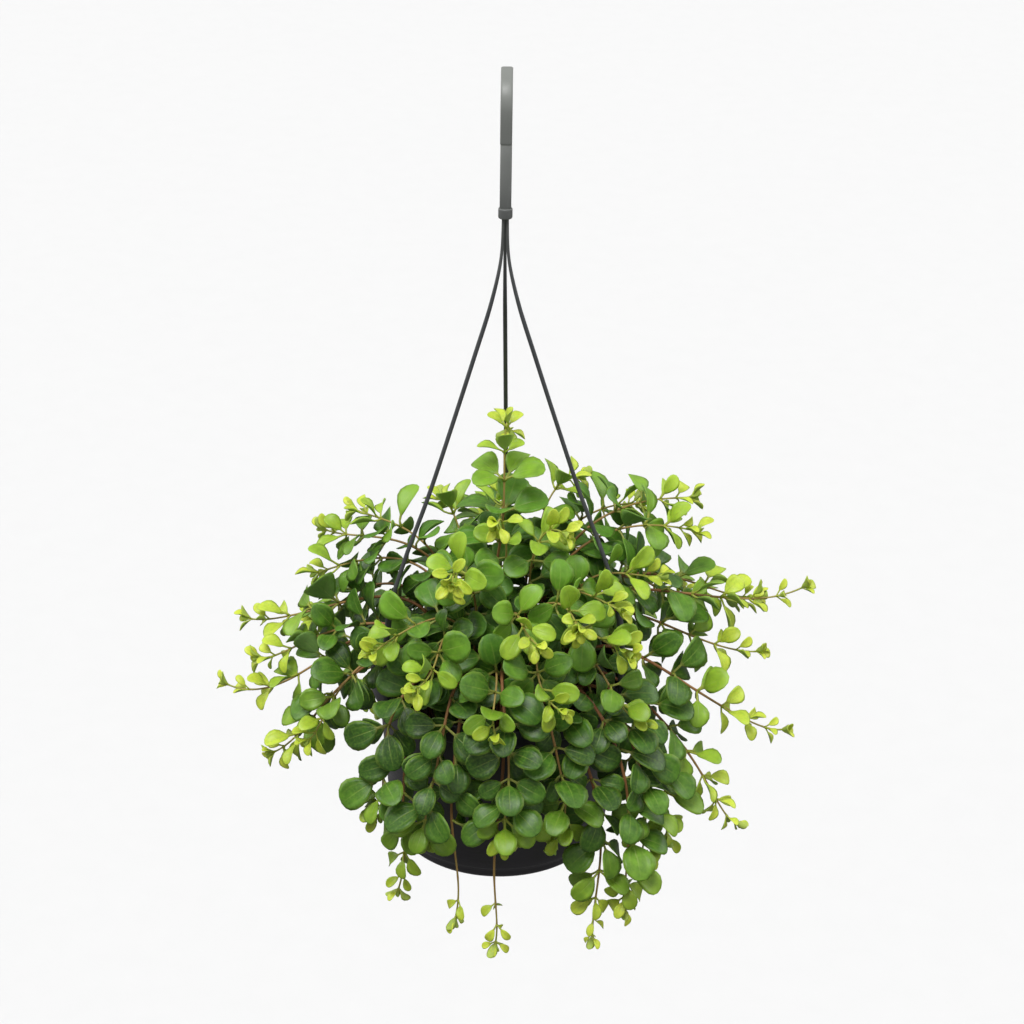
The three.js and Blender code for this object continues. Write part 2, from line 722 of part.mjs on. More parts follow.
// The rings of three corners that a stem is skinned over: one at the bottom of its hole, one at
// the soil, one at each bare whorl above the plain stretch, and two at each leafy whorl, 2 mm
// apart, so that each leaf grows from a face of its own.
function stemRings(stem) {
  const last = stem.line.length - 1;
  const root = last * STEP;
  const marks = [{ back: root, drop: HOLE_DEPTH - GAP }, { back: root }, { back: root - 12 }];
  const whorls = whorlsOf(stem);
  for (let whorl = whorls.length - 1; whorl >= 0; whorl--) {
    const back = whorls[whorl];
    const leafy = whorlSize(stem, whorl, back) > 0;
    if (leafy) marks.push({ back: back + NODE_HEIGHT, whorl });
    if (back < root - PLAIN_STEM) marks.push({ back });
  }
  let before = null;
  return marks.map(({ back, whorl, drop = 0 }, i) => {
    const { node, first, second } = frameAt(stem, back);
    const near = whorl ?? marks[i - 1]?.whorl ?? 0;
    const radius = STEM_RADIUS * (1 - 0.4 * (1 - back / root) ** 3);
    const centre = node.clone();
    centre.z -= drop;
    const corners = [0, 1, 2].map((j) => {
      const turn = radians((near % 2 ? 60 : 0) - 60 + 120 * j);
      return centre
        .clone()
        .addScaledVector(first, radius * Math.cos(turn))
        .addScaledVector(second, radius * Math.sin(turn));
    });
    const shift = before ? leastTwist(before, { centre, corners }) : 0;
    const turned = corners.map((_, j) => corners[(j + shift) % 3]);
    before = { centre, corners: turned };
    return { corners: turned, whorl, shift };
  });
}

// How many corners a ring is turned by, so that the skin between it and the ring below twists
// least.
function leastTwist(below, ring) {
  const twist = [0, 1, 2].map((shift) =>
    below.corners.reduce((sum, corner, j) => {
      const moved = corner.clone().sub(below.centre).add(ring.centre);
      return sum + moved.distanceTo(ring.corners[(j + shift) % 3]);
    }, 0),
  );
  return twist.indexOf(Math.min(...twist));
}

// Adds a leaf to a skin: a thin lens with a rim and a point in the middle of each face, and a
// three-sided stalk that grows out of one triangle of the stem.
function addLeaf(points, faces, leaf, base) {
  const corners = leaf.length > SMALL_LEAF ? 7 : 5;
  const gap = FOOT_TURN;
  const left = points.length;
  for (let i = 0; i < corners; i++) {
    const turn = gap + ((2 * Math.PI - 2 * gap) * i) / (corners - 1);
    points.push(bladePoint(leaf, turn, 1.04));
  }
  const right = points.length - 1;
  const thick = LEAF_THICK * Math.sqrt(leaf.length / LEAF_LENGTH);
  const upper = points.push(bladePoint(leaf, 0, 0, thick / 2)) - 1;
  const lower = points.push(bladePoint(leaf, 0, 0, -thick / 2)) - 1;
  const heel = points.push(leaf.foot.clone().addScaledVector(leaf.face, -1)) - 1;
  for (let i = left; i < right; i++) faces.push(upper, i + 1, i, lower, i, i + 1);
  faces.push(upper, left, right, lower, right, heel, lower, heel, left);
  const ends = [left, right, heel];
  const spans = [0, 1, 2].map((shift) =>
    base.reduce((sum, b, j) => sum + points[b].distanceTo(points[ends[(j + shift) % 3]]), 0),
  );
  const shift = spans.indexOf(Math.min(...spans));
  for (let j = 0; j < 3; j++) {
    const [a, b] = [base[j], base[(j + 1) % 3]];
    const [p, q] = [ends[(j + shift) % 3], ends[(j + shift + 1) % 3]];
    faces.push(a, b, q, a, q, p);
  }
}

// A stem with its leaves, in one closed skin.
function makeLeafyStem(stem, leaves) {
  const own = leaves.filter((leaf) => leaf.stem === stem);
  const rings = stemRings(stem);
  const points = rings.flatMap((ring) => ring.corners);
  const faces = [0, 2, 1];
  rings.slice(1).forEach((above, i) => {
    const ring = rings[i];
    for (let j = 0; j < 3; j++) {
      const [a, b] = [3 * i + j, 3 * i + ((j + 1) % 3)];
      const side = (j + ring.shift) % 3;
      const leaf = own.find((one) => one.whorl === ring.whorl && SIDE_OF[one.quarter] === side);
      if (leaf) addLeaf(points, faces, leaf, [a, b, b + 3]);
      else faces.push(a, b, b + 3);
      faces.push(a, b + 3, a + 3);
    }
  });
  const top = 3 * (rings.length - 1);
  faces.push(top, top + 1, top + 2);
  return solid(skin(points, faces));
}

const strands = Object.values(STRAND_HEADINGS).map((heading) => strandPoints(heading, 140));
const stems = growStems(strands);
const leaves = growLeaves(stems, strands);

const plant = new THREE.Group();
plant.add(part("pot", makePot(), COLOURS.plastic, 0.45));
plant.add(part("soil", makeSoil(stems), COLOURS.soil, 0.95));
plant.add(part("hook", makeHook(), COLOURS.hanger, 0.5));
for (const [name, heading] of Object.entries(STRAND_HEADINGS)) {
  plant.add(part(name, makeStrand(heading), COLOURS.hanger, 0.5));
}
stems.forEach((stem, i) => {
  const name = "leafy_stem_" + String(i + 1).padStart(2, "0");
  plant.add(part(name, makeLeafyStem(stem, leaves), COLOURS.leaf, 0.4));
});

export default plant;
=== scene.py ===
# %% [markdown]
# A trailing peperomia in a hanging pot.
#
# The real object is a thin charcoal pot that hangs by three plastic strands from a flat hook.
# Round, fleshy leaves stand in whorls on some fifty stems, which arch over the rim and
# trail down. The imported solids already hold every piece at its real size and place, so this
# lesson never moves them. It lays a finer surface over each and works out what each is made of.

import bpy
import numpy as np
from mathutils import Matrix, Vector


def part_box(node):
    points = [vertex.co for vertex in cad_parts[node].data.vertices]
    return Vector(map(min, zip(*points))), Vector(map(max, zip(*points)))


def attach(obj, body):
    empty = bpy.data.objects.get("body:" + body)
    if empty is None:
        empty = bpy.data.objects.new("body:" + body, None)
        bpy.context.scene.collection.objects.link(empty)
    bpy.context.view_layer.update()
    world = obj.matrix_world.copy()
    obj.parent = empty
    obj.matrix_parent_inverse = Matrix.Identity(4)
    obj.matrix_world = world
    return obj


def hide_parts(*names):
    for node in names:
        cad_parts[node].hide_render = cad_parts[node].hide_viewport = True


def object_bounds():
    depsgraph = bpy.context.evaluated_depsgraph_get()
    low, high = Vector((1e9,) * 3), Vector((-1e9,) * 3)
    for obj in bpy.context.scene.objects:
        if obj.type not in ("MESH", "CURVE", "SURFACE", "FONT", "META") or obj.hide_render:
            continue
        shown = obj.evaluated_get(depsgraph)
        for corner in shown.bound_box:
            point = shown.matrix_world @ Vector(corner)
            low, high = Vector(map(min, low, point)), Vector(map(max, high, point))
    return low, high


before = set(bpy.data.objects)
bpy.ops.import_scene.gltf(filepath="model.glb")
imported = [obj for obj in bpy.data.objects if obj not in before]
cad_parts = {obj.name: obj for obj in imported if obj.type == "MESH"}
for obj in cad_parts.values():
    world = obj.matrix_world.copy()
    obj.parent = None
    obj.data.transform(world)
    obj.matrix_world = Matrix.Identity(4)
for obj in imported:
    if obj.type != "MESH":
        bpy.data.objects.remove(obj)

scene = bpy.context.scene
CAD_BOX = [list(corner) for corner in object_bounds()]
MM = 0.001
print("solids:", len(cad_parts), "box:", np.round(CAD_BOX, 3).tolist())

# %% [markdown]
# The camera comes first, because everything else is judged through it. A product picture of
# a hanging pot is taken from a little above and from well back, which keeps the pot's ellipses
# calm. A long lens does the same here. The picture leans by less than a degree, and so does
# this camera, which is turned about its own line of sight.

# %% Camera
LENS = 92.8  # mm, on a sensor 36 mm wide
CAMERA_PLACE = (0.006, -1.3856, 0.4326)
LOOK_DOWN = 26.73  # degrees below the horizon
LEAN = 0.8  # degrees

camera = bpy.data.objects.new("camera", bpy.data.cameras.new("camera"))
scene.collection.objects.link(camera)
scene.camera = camera
camera.data.lens = LENS
camera.data.sensor_width = 36.0
camera.matrix_world = (
    Matrix.Translation(CAMERA_PLACE)
    @ Matrix.Rotation(np.radians(90 - LOOK_DOWN), 4, "X")
    @ Matrix.Rotation(np.radians(LEAN), 4, "Z")
)
print("camera to hook:", round(float(np.linalg.norm(CAMERA_PLACE)), 2), "m")

# %% [markdown]
# Colours are picked as screen colours, which are sRGB, while shaders work in linear
# light, so one function turns each hex value to linear. One more small function adds a node,
# with its settings and its links, and keeps every material below to a few readable lines.


# %% Helpers for colours and nodes
def linear(code):
    """The hex screen colour as linear red, green, blue and a full alpha: each channel is
    divided by 12.92 near black, and elsewhere raised to the power 2.4."""
    channel = np.array([int(code[i : i + 2], 16) for i in (1, 3, 5)]) / 255
    light = np.where(channel < 0.04045, channel / 12.92, ((channel + 0.055) / 1.055) ** 2.4)
    return (*light.tolist(), 1.0)


def add_node(tree, kind, inputs=(), **settings):
    """A new node of a kind. The settings are its own properties. The inputs give each socket,
    by name or number, either a value or the output socket that it is linked to."""
    node = tree.nodes.new(kind)
    for name, value in settings.items():
        setattr(node, name, value)
    for name, value in dict(inputs).items():
        if isinstance(value, bpy.types.NodeSocket):
            tree.links.new(value, node.inputs[name])
        else:
            node.inputs[name].default_value = value
    return node


def new_material(name, roughness, ior):
    """A material with one principled shader, and its node tree and that shader."""
    material = bpy.data.materials.new(name)
    material.use_nodes = True
    tree = material.node_tree
    shader = tree.nodes["Principled BSDF"]
    shader.inputs["Roughness"].default_value = roughness
    shader.inputs["IOR"].default_value = ior
    return material, tree, shader


def ramp(tree, factor, stops):
    """A colour ramp over a factor. The stops are pairs of a place and a hex colour."""
    node = add_node(tree, "ShaderNodeValToRGB", {"Fac": factor})
    elements = node.color_ramp.elements
    while len(elements) < len(stops):
        elements.new(0.5)
    for element, (place, code) in zip(elements, stops):
        element.position = place
        element.color = linear(code)
    return node.outputs["Color"]


def mix(tree, factor, a, b):
    """The colours a and b mixed by a factor from 0 to 1."""
    node = add_node(tree, "ShaderNodeMix", {0: factor, 6: a, 7: b}, data_type="RGBA")
    return node.outputs[2]


def stretch(tree, value, low, high, to_low=0.0, to_high=1.0):
    """The value's range from low to high, eased to the range from to_low to to_high."""
    span = {"Value": value, "From Min": low, "From Max": high, "To Min": to_low, "To Max": to_high}
    return add_node(tree, "ShaderNodeMapRange", span, interpolation_type="SMOOTHSTEP").outputs[0]


def number(tree, operation, *values):
    """The result of a sum on numbers or sockets."""
    return add_node(tree, "ShaderNodeMath", enumerate(values), operation=operation).outputs[0]


def noise(tree, size, detail=2.0, stretch_by=(1, 1, 1)):
    """Cloudy noise whose blotches are about size metres across, on Object coordinates."""
    place = add_node(tree, "ShaderNodeTexCoord").outputs["Object"]
    mapping = add_node(tree, "ShaderNodeMapping", {"Vector": place, "Scale": stretch_by})
    fields = {"Vector": mapping.outputs[0], "Scale": 1 / size, "Detail": detail}
    return add_node(tree, "ShaderNodeTexNoise", fields).outputs["Fac"]


def bump(tree, height, distance, normal=None):
    """A bent normal from a height of 0 to 1 that stands for a distance in metres."""
    inputs = {"Height": height, "Distance": distance}
    if normal is not None:
        inputs["Normal"] = normal
    return add_node(tree, "ShaderNodeBump", inputs).outputs["Normal"]


print("mid green in linear light:", np.round(linear("#4e8a2c")[:3], 3))

# %% [markdown]
# The studio is a pale floor far below the pot, a large soft key light from the upper left
# and an even, dimmer light all round. A sun lamp with a wide disc gives the soft edges of a
# softbox and lights the whole floor alike, so no patch of it turns grey. Two low rim lights
# from behind pick out the trailing sides and the edge of the pot. The floor lies more than a
# metre down, where the shadow of the plant falls outside the picture.

# %% Light and floor
scene.view_settings.view_transform = "Standard"
FLOOR_BELOW = 1.25  # metres under the lowest leaf
FLOOR_SPAN = 80.0

studio = bpy.data.worlds.new("studio")
studio.use_nodes = True
scene.world = studio
air = studio.node_tree
sky = add_node(air, "ShaderNodeTexCoord").outputs["Generated"]
up = add_node(air, "ShaderNodeSeparateXYZ", {0: sky}).outputs["Z"]
glow = stretch(air, up, -0.3, 0.5, 0.2, 0.46)
air.nodes["Background"].inputs["Color"].default_value = (1, 1, 1, 1)
air.links.new(glow, air.nodes["Background"].inputs["Strength"])


def add_sun(name, azimuth, elevation, strength, angle):
    """A far lamp whose light comes from an azimuth, counted from -Y towards -X, and an
    elevation. Its angle is how wide its disc looks, so it sets how soft the shadows are."""
    lamp = bpy.data.lights.new(name, "SUN")
    lamp.energy = strength
    lamp.angle = np.radians(angle)
    sun = bpy.data.objects.new(name, lamp)
    scene.collection.objects.link(sun)
    turn = Matrix.Rotation(np.radians(-azimuth), 4, "Z")
    sun.matrix_world = turn @ Matrix.Rotation(np.radians(90 - elevation), 4, "X")


add_sun("key", azimuth=24, elevation=66, strength=2.2, angle=30)
add_sun("fill", azimuth=-50, elevation=36, strength=0.3, angle=60)
add_sun("left rim", azimuth=112, elevation=22, strength=1.0, angle=35)
add_sun("right rim", azimuth=-112, elevation=24, strength=0.8, angle=35)

floor_z = CAD_BOX[0][2] - FLOOR_BELOW
half = FLOOR_SPAN / 2
corners = [(x * half, y * half, floor_z) for x, y in ((-1, -1), (1, -1), (1, 1), (-1, 1))]
floor_mesh = bpy.data.meshes.new("floor")
floor_mesh.from_pydata(corners, [], [(0, 1, 2, 3)])
floor = bpy.data.objects.new("floor", floor_mesh)
scene.collection.objects.link(floor)

# Matt painted board, the white of studio paper. Its bounce is left out, because so much white
# under the plant would light the leaves from below as strongly as the lamps do from above.
floor.visible_diffuse = False
floor.visible_glossy = False
board, tree, shader = new_material("matt white painted board", 0.9, 1.45)
paper = ramp(tree, noise(tree, 0.05), [(0.3, "#d9d9d9"), (0.7, "#dadada")])
tree.links.new(paper, shader.inputs["Base Color"])
shader.inputs["Specular IOR Level"].default_value = 0.0
floor_mesh.materials.append(board)
print("floor at", round(floor_z, 3), "m")

# %% [markdown]
# Every surface below is a grid: rows of points along the piece and columns round it. One
# function turns any stack of closed rings into a skin, and one turns points and faces into
# a Blender mesh that stands in for a solid. The helper also gives the volume that the skin
# encloses, whose sign shows whether its faces point out.


# %% Helpers for skins and pieces
def ring_faces(rows, columns):
    """Quads between each ring and the next, wrapped round, for rings stored one after
    another. Corner (i, j) has the number i * columns + j."""
    i, j = np.meshgrid(np.arange(rows - 1), np.arange(columns), indexing="ij")
    right = (j + 1) % columns
    a, b = i * columns + j, i * columns + right
    return np.stack([a, b, b + columns, a + columns], -1).reshape(-1, 4)


def closed_skin(rings):
    """Points and faces of a closed skin through rings of points, an array of rows, columns
    and 3. Each end is closed with one face."""
    rows, columns = rings.shape[:2]
    faces = ring_faces(rows, columns).tolist()
    faces.append(list(range(columns))[::-1])
    faces.append([(rows - 1) * columns + j for j in range(columns)])
    return rings.reshape(-1, 3), faces


def joined(*skins):
    """Several skins as one list of points and one of faces."""
    points = np.concatenate([skin[0] for skin in skins])
    starts = np.cumsum([0] + [len(skin[0]) for skin in skins[:-1]])
    faces = [[k + start for k in face] for skin, start in zip(skins, starts) for face in skin[1]]
    return points, faces


def signed_volume(mesh):
    """The volume inside a mesh in cubic metres: the sum over its triangles of a sixth of
    the corners' triple product. It is above zero where the faces point out."""
    mesh.calc_loop_triangles()
    corner = np.empty(len(mesh.vertices) * 3, np.float32)
    mesh.vertices.foreach_get("co", corner)
    index = np.empty(len(mesh.loop_triangles) * 3, np.int32)
    mesh.loop_triangles.foreach_get("vertices", index)
    a, b, c = corner.reshape(-1, 3)[index.reshape(-1, 3)].transpose(1, 0, 2).astype(float)
    return float(np.einsum("ij,ij->i", a, np.cross(b, c)).sum() / 6)


def make_piece(name, skin, materials, node, crease=None):
    """A piece from points in millimetres and faces. It rides on the one body, stands for a
    solid, and takes the materials given. Edges sharper than crease degrees stay sharp."""
    points, faces = skin
    mesh = bpy.data.meshes.new(name)
    mesh.from_pydata(np.asarray(points, float) * MM, [], faces)
    if signed_volume(mesh) < 0:
        mesh.flip_normals()
    mesh.shade_smooth()
    if crease is not None:
        mesh.set_sharp_from_angle(angle=np.radians(crease))
    for material in materials:
        mesh.materials.append(material)
    piece = bpy.data.objects.new(name, mesh)
    scene.collection.objects.link(piece)
    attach(piece, "root")
    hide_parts(node)
    return piece


def unit(v):
    """The vectors scaled to length 1."""
    return v / np.linalg.norm(v, axis=-1, keepdims=True)


def polar(radius, heading, z):
    """The point at a radius, a heading in degrees and a height."""
    turn = np.radians(heading)
    return np.stack(np.broadcast_arrays(radius * np.cos(turn), radius * np.sin(turn), z), -1)


def smooth(x):
    """0 below 0, 1 above 1, and an even S between."""
    x = np.clip(x, 0, 1)
    return x * x * (3 - 2 * x)


def rounded(outline, radius, steps=4):
    """An outline of radius and height whose corners are cut by arcs. Each arc is a quadratic
    curve that leaves the sides at the given distance from the corner, or at 45% of the
    shorter side."""
    outline = np.asarray(outline, float)
    points = [outline[0]]
    t = np.linspace(0, 1, steps + 1)[:, None]
    for before, corner, after in zip(outline[:-2], outline[1:-1], outline[2:]):
        to_before, to_after = before - corner, after - corner
        sides = np.linalg.norm(to_before), np.linalg.norm(to_after)
        cut = min(radius, 0.45 * min(sides))
        start, end = corner + to_before / sides[0] * cut, corner + to_after / sides[1] * cut
        points.extend((1 - t) ** 2 * start + 2 * t * (1 - t) * corner + t**2 * end)
    points.append(outline[-1])
    return np.array(points)


def revolved(outline, sides):
    """A skin from an outline of radius and height that starts and ends on the axis, turned
    about Z. The two end points become one point each, fanned to the nearest ring."""
    rings = outline[1:-1]
    turn = np.arange(sides) * 360 / sides
    points = polar(rings[:, :1], turn[None], rings[:, 1:]).reshape(-1, 3)
    faces = ring_faces(len(rings), sides).tolist()
    first, last = len(points), len(points) + 1
    top = (len(rings) - 1) * sides
    faces += [[first, (j + 1) % sides, j] for j in range(sides)]
    faces += [[last, top + j, top + (j + 1) % sides] for j in range(sides)]
    ends = [(0, 0, outline[0][1]), (0, 0, outline[-1][1])]
    return np.vstack([points, ends]), faces


def swept(line, half_widths, section, across):
    """Rings along a line. The section gives shares of the two half widths, across the line
    along one fixed direction, and square to that. half_widths has a pair for each point."""
    along = unit(np.gradient(line, axis=0))
    out = unit(np.cross(along, across))
    wide = unit(np.cross(out, along))
    u = section[None, :, :1] * half_widths[:, None, :1] * wide[:, None]
    v = section[None, :, 1:] * half_widths[:, None, 1:] * out[:, None]
    return line[:, None] + u + v


def box_section(corner, steps=4):
    """A square from -1 to 1 with corners rounded by a share of its half width."""
    turn = np.linspace(0, 90, steps + 1)
    arcs = [
        (sx * (1 - corner), sy * (1 - corner), q + turn)
        for sx, sy, q in ((1, 1, 0), (-1, 1, 90), (-1, -1, 180), (1, -1, 270))
    ]
    rows = [
        np.stack([cx + corner * np.cos(np.radians(a)), cy + corner * np.sin(np.radians(a))], -1)
        for cx, cy, a in arcs
    ]
    return np.concatenate(rows)


def round_section(sides):
    """A circle of radius 1."""
    turn = np.arange(sides) * 2 * np.pi / sides
    return np.stack([np.cos(turn), np.sin(turn)], -1)


print("a ring of 8 points has", len(round_section(8)), "corners")

# %% [markdown]
# Smooth lines are drawn through a few points, as a draughtsman bends a spline through pins.
# The centripetal Catmull-Rom spline passes through every pin with no loops, and taking its
# points at equal distances keeps the skins even.


# %% Lines through points
def spaced(curve, count):
    """count + 1 points at equal distances along a curve, a function of an array of
    parameters from 0 to 1. The length is summed over 200 short steps."""
    t = np.linspace(0, 1, 201)
    steps = np.linalg.norm(np.diff(curve(t), axis=0), axis=1)
    length = np.concatenate([[0], np.cumsum(steps)])
    return curve(np.interp(np.linspace(0, length[-1], count + 1), length, t)), length[-1]


def spline(points):
    """A centripetal Catmull-Rom curve through points: on each stretch a cubic whose end
    slopes come from the neighbours, weighted by the square roots of the distances."""
    points = np.asarray(points, float)
    pins = np.vstack([2 * points[0] - points[1], points, 2 * points[-1] - points[-2]])
    root = np.sqrt(np.linalg.norm(np.diff(pins, axis=0), axis=1))[:, None]

    def curve(t):
        place = np.clip(t, 0, 1) * (len(points) - 1)
        k = np.minimum(place.astype(int), len(points) - 2)
        s = (place - k)[:, None]
        p0, p1, p2, p3 = pins[k], pins[k + 1], pins[k + 2], pins[k + 3]
        d0, d1, d2 = root[k], root[k + 1], root[k + 2]
        m1 = ((p1 - p0) / d0 - (p2 - p0) / (d0 + d1) + (p2 - p1) / d1) * d1
        m2 = ((p2 - p1) / d1 - (p3 - p1) / (d1 + d2) + (p3 - p2) / d2) * d1
        c2, c3 = 3 * (p2 - p1) - 2 * m1 - m2, 2 * (p1 - p2) + m1 + m2
        return p1 + s * (m1 + s * (c2 + s * c3))

    return curve


RIM_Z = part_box("pot")[1].z / MM
POT_HEIGHT = RIM_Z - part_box("pot")[0].z / MM
RIM_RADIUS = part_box("pot")[1].x / MM
print("rim at", round(RIM_Z, 1), "radius", round(RIM_RADIUS, 1), "height", round(POT_HEIGHT, 1))

# %% [markdown]
# The pot is injection moulded polypropylene: a thin wall with a band round the rim, a rounded
# lower edge and a foot ring. It could be modelled from a cylinder with bevels, but a turned
# outline is how its mould was drawn, so the same outline is rounded off and turned here.
# The drain holes are cut by a Boolean, which is applied at once.

# %% Pot
RIM_BAND = 12
WALL_TOP_RADIUS = 73.5
WALL_FOOT_RADIUS = 66
WALL = 1.6
FOOT_HEIGHT = 7
FOOT_RADIUS = 62.5
FOOT_RECESS = 2.5
DRAIN_RING = 34
DRAIN_RADIUS = 1.8
DRAIN_HOLES = 5
SOIL_DROP = 15


def wall_radius(depth):
    """The radius of the wall's outside at a depth under the rim, which is a straight line."""
    share = (depth - RIM_BAND) / (POT_HEIGHT - RIM_BAND)
    return WALL_TOP_RADIUS + (WALL_FOOT_RADIUS - WALL_TOP_RADIUS) * share


def pot_outline():
    """Radius and height of the pot's section, from the middle of the base outside, up the
    wall, over the rim and down the inside."""
    base, foot = -POT_HEIGHT, -POT_HEIGHT + FOOT_HEIGHT
    low = wall_radius(-foot)
    outline = [
        [0, base + FOOT_RECESS],
        [FOOT_RADIUS - 7, base + FOOT_RECESS],
        [FOOT_RADIUS - 6, base],
        [FOOT_RADIUS - 1, base],
        [FOOT_RADIUS + 0.6, base + 2],
        [FOOT_RADIUS + 0.8, foot - 1.4],
        [low - 2.2, foot],
        [low - 0.4, foot + 1.6],
        [wall_radius(-foot - 6), foot + 6],
        [WALL_TOP_RADIUS, -RIM_BAND],
        [RIM_RADIUS - 0.5, -RIM_BAND],
        [RIM_RADIUS, -RIM_BAND + 1.2],
        [RIM_RADIUS, -1],
        [RIM_RADIUS - 1, 0],
        [RIM_RADIUS - 2.4, 0],
        [WALL_TOP_RADIUS - WALL, -3],
        [WALL_TOP_RADIUS - WALL - 0.4, -RIM_BAND - 2],
        [wall_radius(-foot - 6) - WALL, foot + 6],
        [low - WALL - 3, foot + 1.2],
        [FOOT_RADIUS - 5, base + FOOT_RECESS + WALL],
        [0, base + FOOT_RECESS + WALL],
    ]
    return rounded(np.array(outline) + [0, RIM_Z], radius=1.2, steps=3)


def cut_drains(pot):
    """Cuts round drain holes through the base, and keeps the result as the pot's own mesh."""
    floor_height = RIM_Z - POT_HEIGHT
    holes = []
    for i in range(DRAIN_HOLES):
        centre = polar(DRAIN_RING, 360 * i / DRAIN_HOLES + 18, 0)
        line = centre + np.array([[0, 0, floor_height - 2], [0, 0, floor_height + 9]])
        radii = np.full((2, 2), DRAIN_RADIUS)
        holes.append(closed_skin(swept(line, radii, round_section(20), np.array([1.0, 0, 0]))))
    points, faces = joined(*holes)
    cutter = bpy.data.objects.new("cutter", bpy.data.meshes.new("cutter"))
    cutter.data.from_pydata(points * MM, [], faces)
    scene.collection.objects.link(cutter)
    if signed_volume(cutter.data) < 0:
        cutter.data.flip_normals()
    boolean = pot.modifiers.new("drains", "BOOLEAN")
    boolean.operation = "DIFFERENCE"
    boolean.object = cutter
    graph = bpy.context.evaluated_depsgraph_get()
    made = bpy.data.meshes.new_from_object(pot.evaluated_get(graph))
    pot.modifiers.clear()
    pot.data = made
    bpy.data.objects.remove(cutter)


# Polypropylene with carbon black: satin from the mould, with fine polishing marks round it.
pot_plastic, tree, shader = new_material("moulded charcoal polypropylene", 0.34, 1.49)
cloud = noise(tree, 0.03)
grain = noise(tree, 0.0007, detail=4)
rings = noise(tree, 0.012, detail=5, stretch_by=(1, 1, 26))
shade = ramp(tree, cloud, [(0.25, "#262428"), (0.75, "#312f34")])
dust = stretch(tree, rings, 0.5, 0.8, 0.0, 0.12)
tree.links.new(mix(tree, dust, shade, linear("#5b585d")), shader.inputs["Base Color"])
tree.links.new(stretch(tree, rings, 0.2, 0.8, 0.27, 0.43), shader.inputs["Roughness"])
normal = bump(tree, grain, 0.00004)
tree.links.new(bump(tree, rings, 0.00008, normal=normal), shader.inputs["Normal"])

pot = make_piece("pot_fine", revolved(pot_outline(), 120), [pot_plastic], "pot")
cut_drains(pot)
pot.data.shade_smooth()
pot.data.set_sharp_from_angle(angle=np.radians(34))
print("pot:", len(pot.data.polygons), "faces")

# %% [markdown]
# The potting soil is moist peat: a crumbly, nearly black surface with loose lumps on it. A
# particle system could scatter the lumps, but the export drops particles, so they are real
# meshes here, each an icosahedron with its corners pushed in and out.

# %% Soil
GAP = 0.3
SOIL_TOP = RIM_Z - SOIL_DROP
LUMPS = 380
LUMP_SIZES = (0.6, 2.0)
random = np.random.default_rng(7)


def crumble(x, y, waves=26, height=1.1):
    """Heights of a crumbly surface: the mean of many sine waves, 3 to 13 mm long, in random
    directions and with random starts."""
    way, start = random.uniform(0, 2 * np.pi, (2, waves, 1))
    length = random.uniform(3, 13, (waves, 1))
    run = np.cos(way) * x.ravel() + np.sin(way) * y.ravel()
    total = np.sin(2 * np.pi * run / length + start).sum(0) / np.sqrt(waves)
    return height * total.reshape(x.shape)


def soil_skin():
    """The solid's own outline with 40 rings over its top, whose heights are crumbled."""
    base, foot = -POT_HEIGHT, -POT_HEIGHT + FOOT_HEIGHT
    edge = wall_radius(SOIL_DROP) - WALL - GAP - 0.5
    side = [
        [0, base + FOOT_RECESS + WALL + GAP],
        [FOOT_RADIUS - 6, base + FOOT_RECESS + WALL + GAP],
        [wall_radius(-foot - 6) - WALL - GAP - 0.4, foot + 6],
        [edge, -SOIL_DROP - 2],
    ]
    top = [[edge * share, -SOIL_DROP - 0.6] for share in np.linspace(0.99, 0.01, 40)]
    outline = np.array(side + top + [[0, -SOIL_DROP - 0.6]]) + [0, RIM_Z]
    points, faces = revolved(outline, 110)
    upper = points[:, 2] > SOIL_TOP - 1
    points[upper, 2] += crumble(points[upper, 0], points[upper, 1])
    return points, faces


def icosahedron():
    """The 12 corners and 20 faces of an icosahedron of radius 1."""
    g = (1 + 5**0.5) / 2
    a = [(s, t * g, 0) for s in (-1, 1) for t in (-1, 1)]
    b = [(0, x, y) for x, y, _ in a] + [(y, 0, x) for x, y, _ in a]
    corners = unit(np.array(a + b, float))
    near = np.linalg.norm(corners[:, None] - corners[None], axis=2)
    touch = (near > 0.1) & (near < 1.2)
    faces = []
    for i in range(12):
        for j in range(i + 1, 12):
            for k in range(j + 1, 12):
                if touch[i, j] and touch[j, k] and touch[i, k]:
                    across = np.cross(corners[j] - corners[i], corners[k] - corners[i])
                    faces.append([i, j, k] if across @ corners[i] > 0 else [i, k, j])
    return corners, faces


def lump_skin():
    """Lumps strewn evenly over the soil: each is an icosahedron stretched along its own
    axes by random sizes, with its corners moved by up to a fifth."""
    corners, faces = icosahedron()
    radius = 69 * np.sqrt(random.uniform(0, 1, LUMPS))
    place = polar(radius, random.uniform(0, 360, LUMPS), SOIL_TOP + 0.3)
    size = LUMP_SIZES[0] + (LUMP_SIZES[1] - LUMP_SIZES[0]) * random.uniform(0, 1, (LUMPS, 1)) ** 2
    size = size * random.uniform(0.6, 1.2, (LUMPS, 3))
    rough = corners * random.uniform(0.8, 1.2, (LUMPS, 12, 1))
    points = (rough * size[:, None] + place[:, None]).reshape(-1, 3)
    return points, [[k + 12 * i for k in face] for i in range(LUMPS) for face in faces]


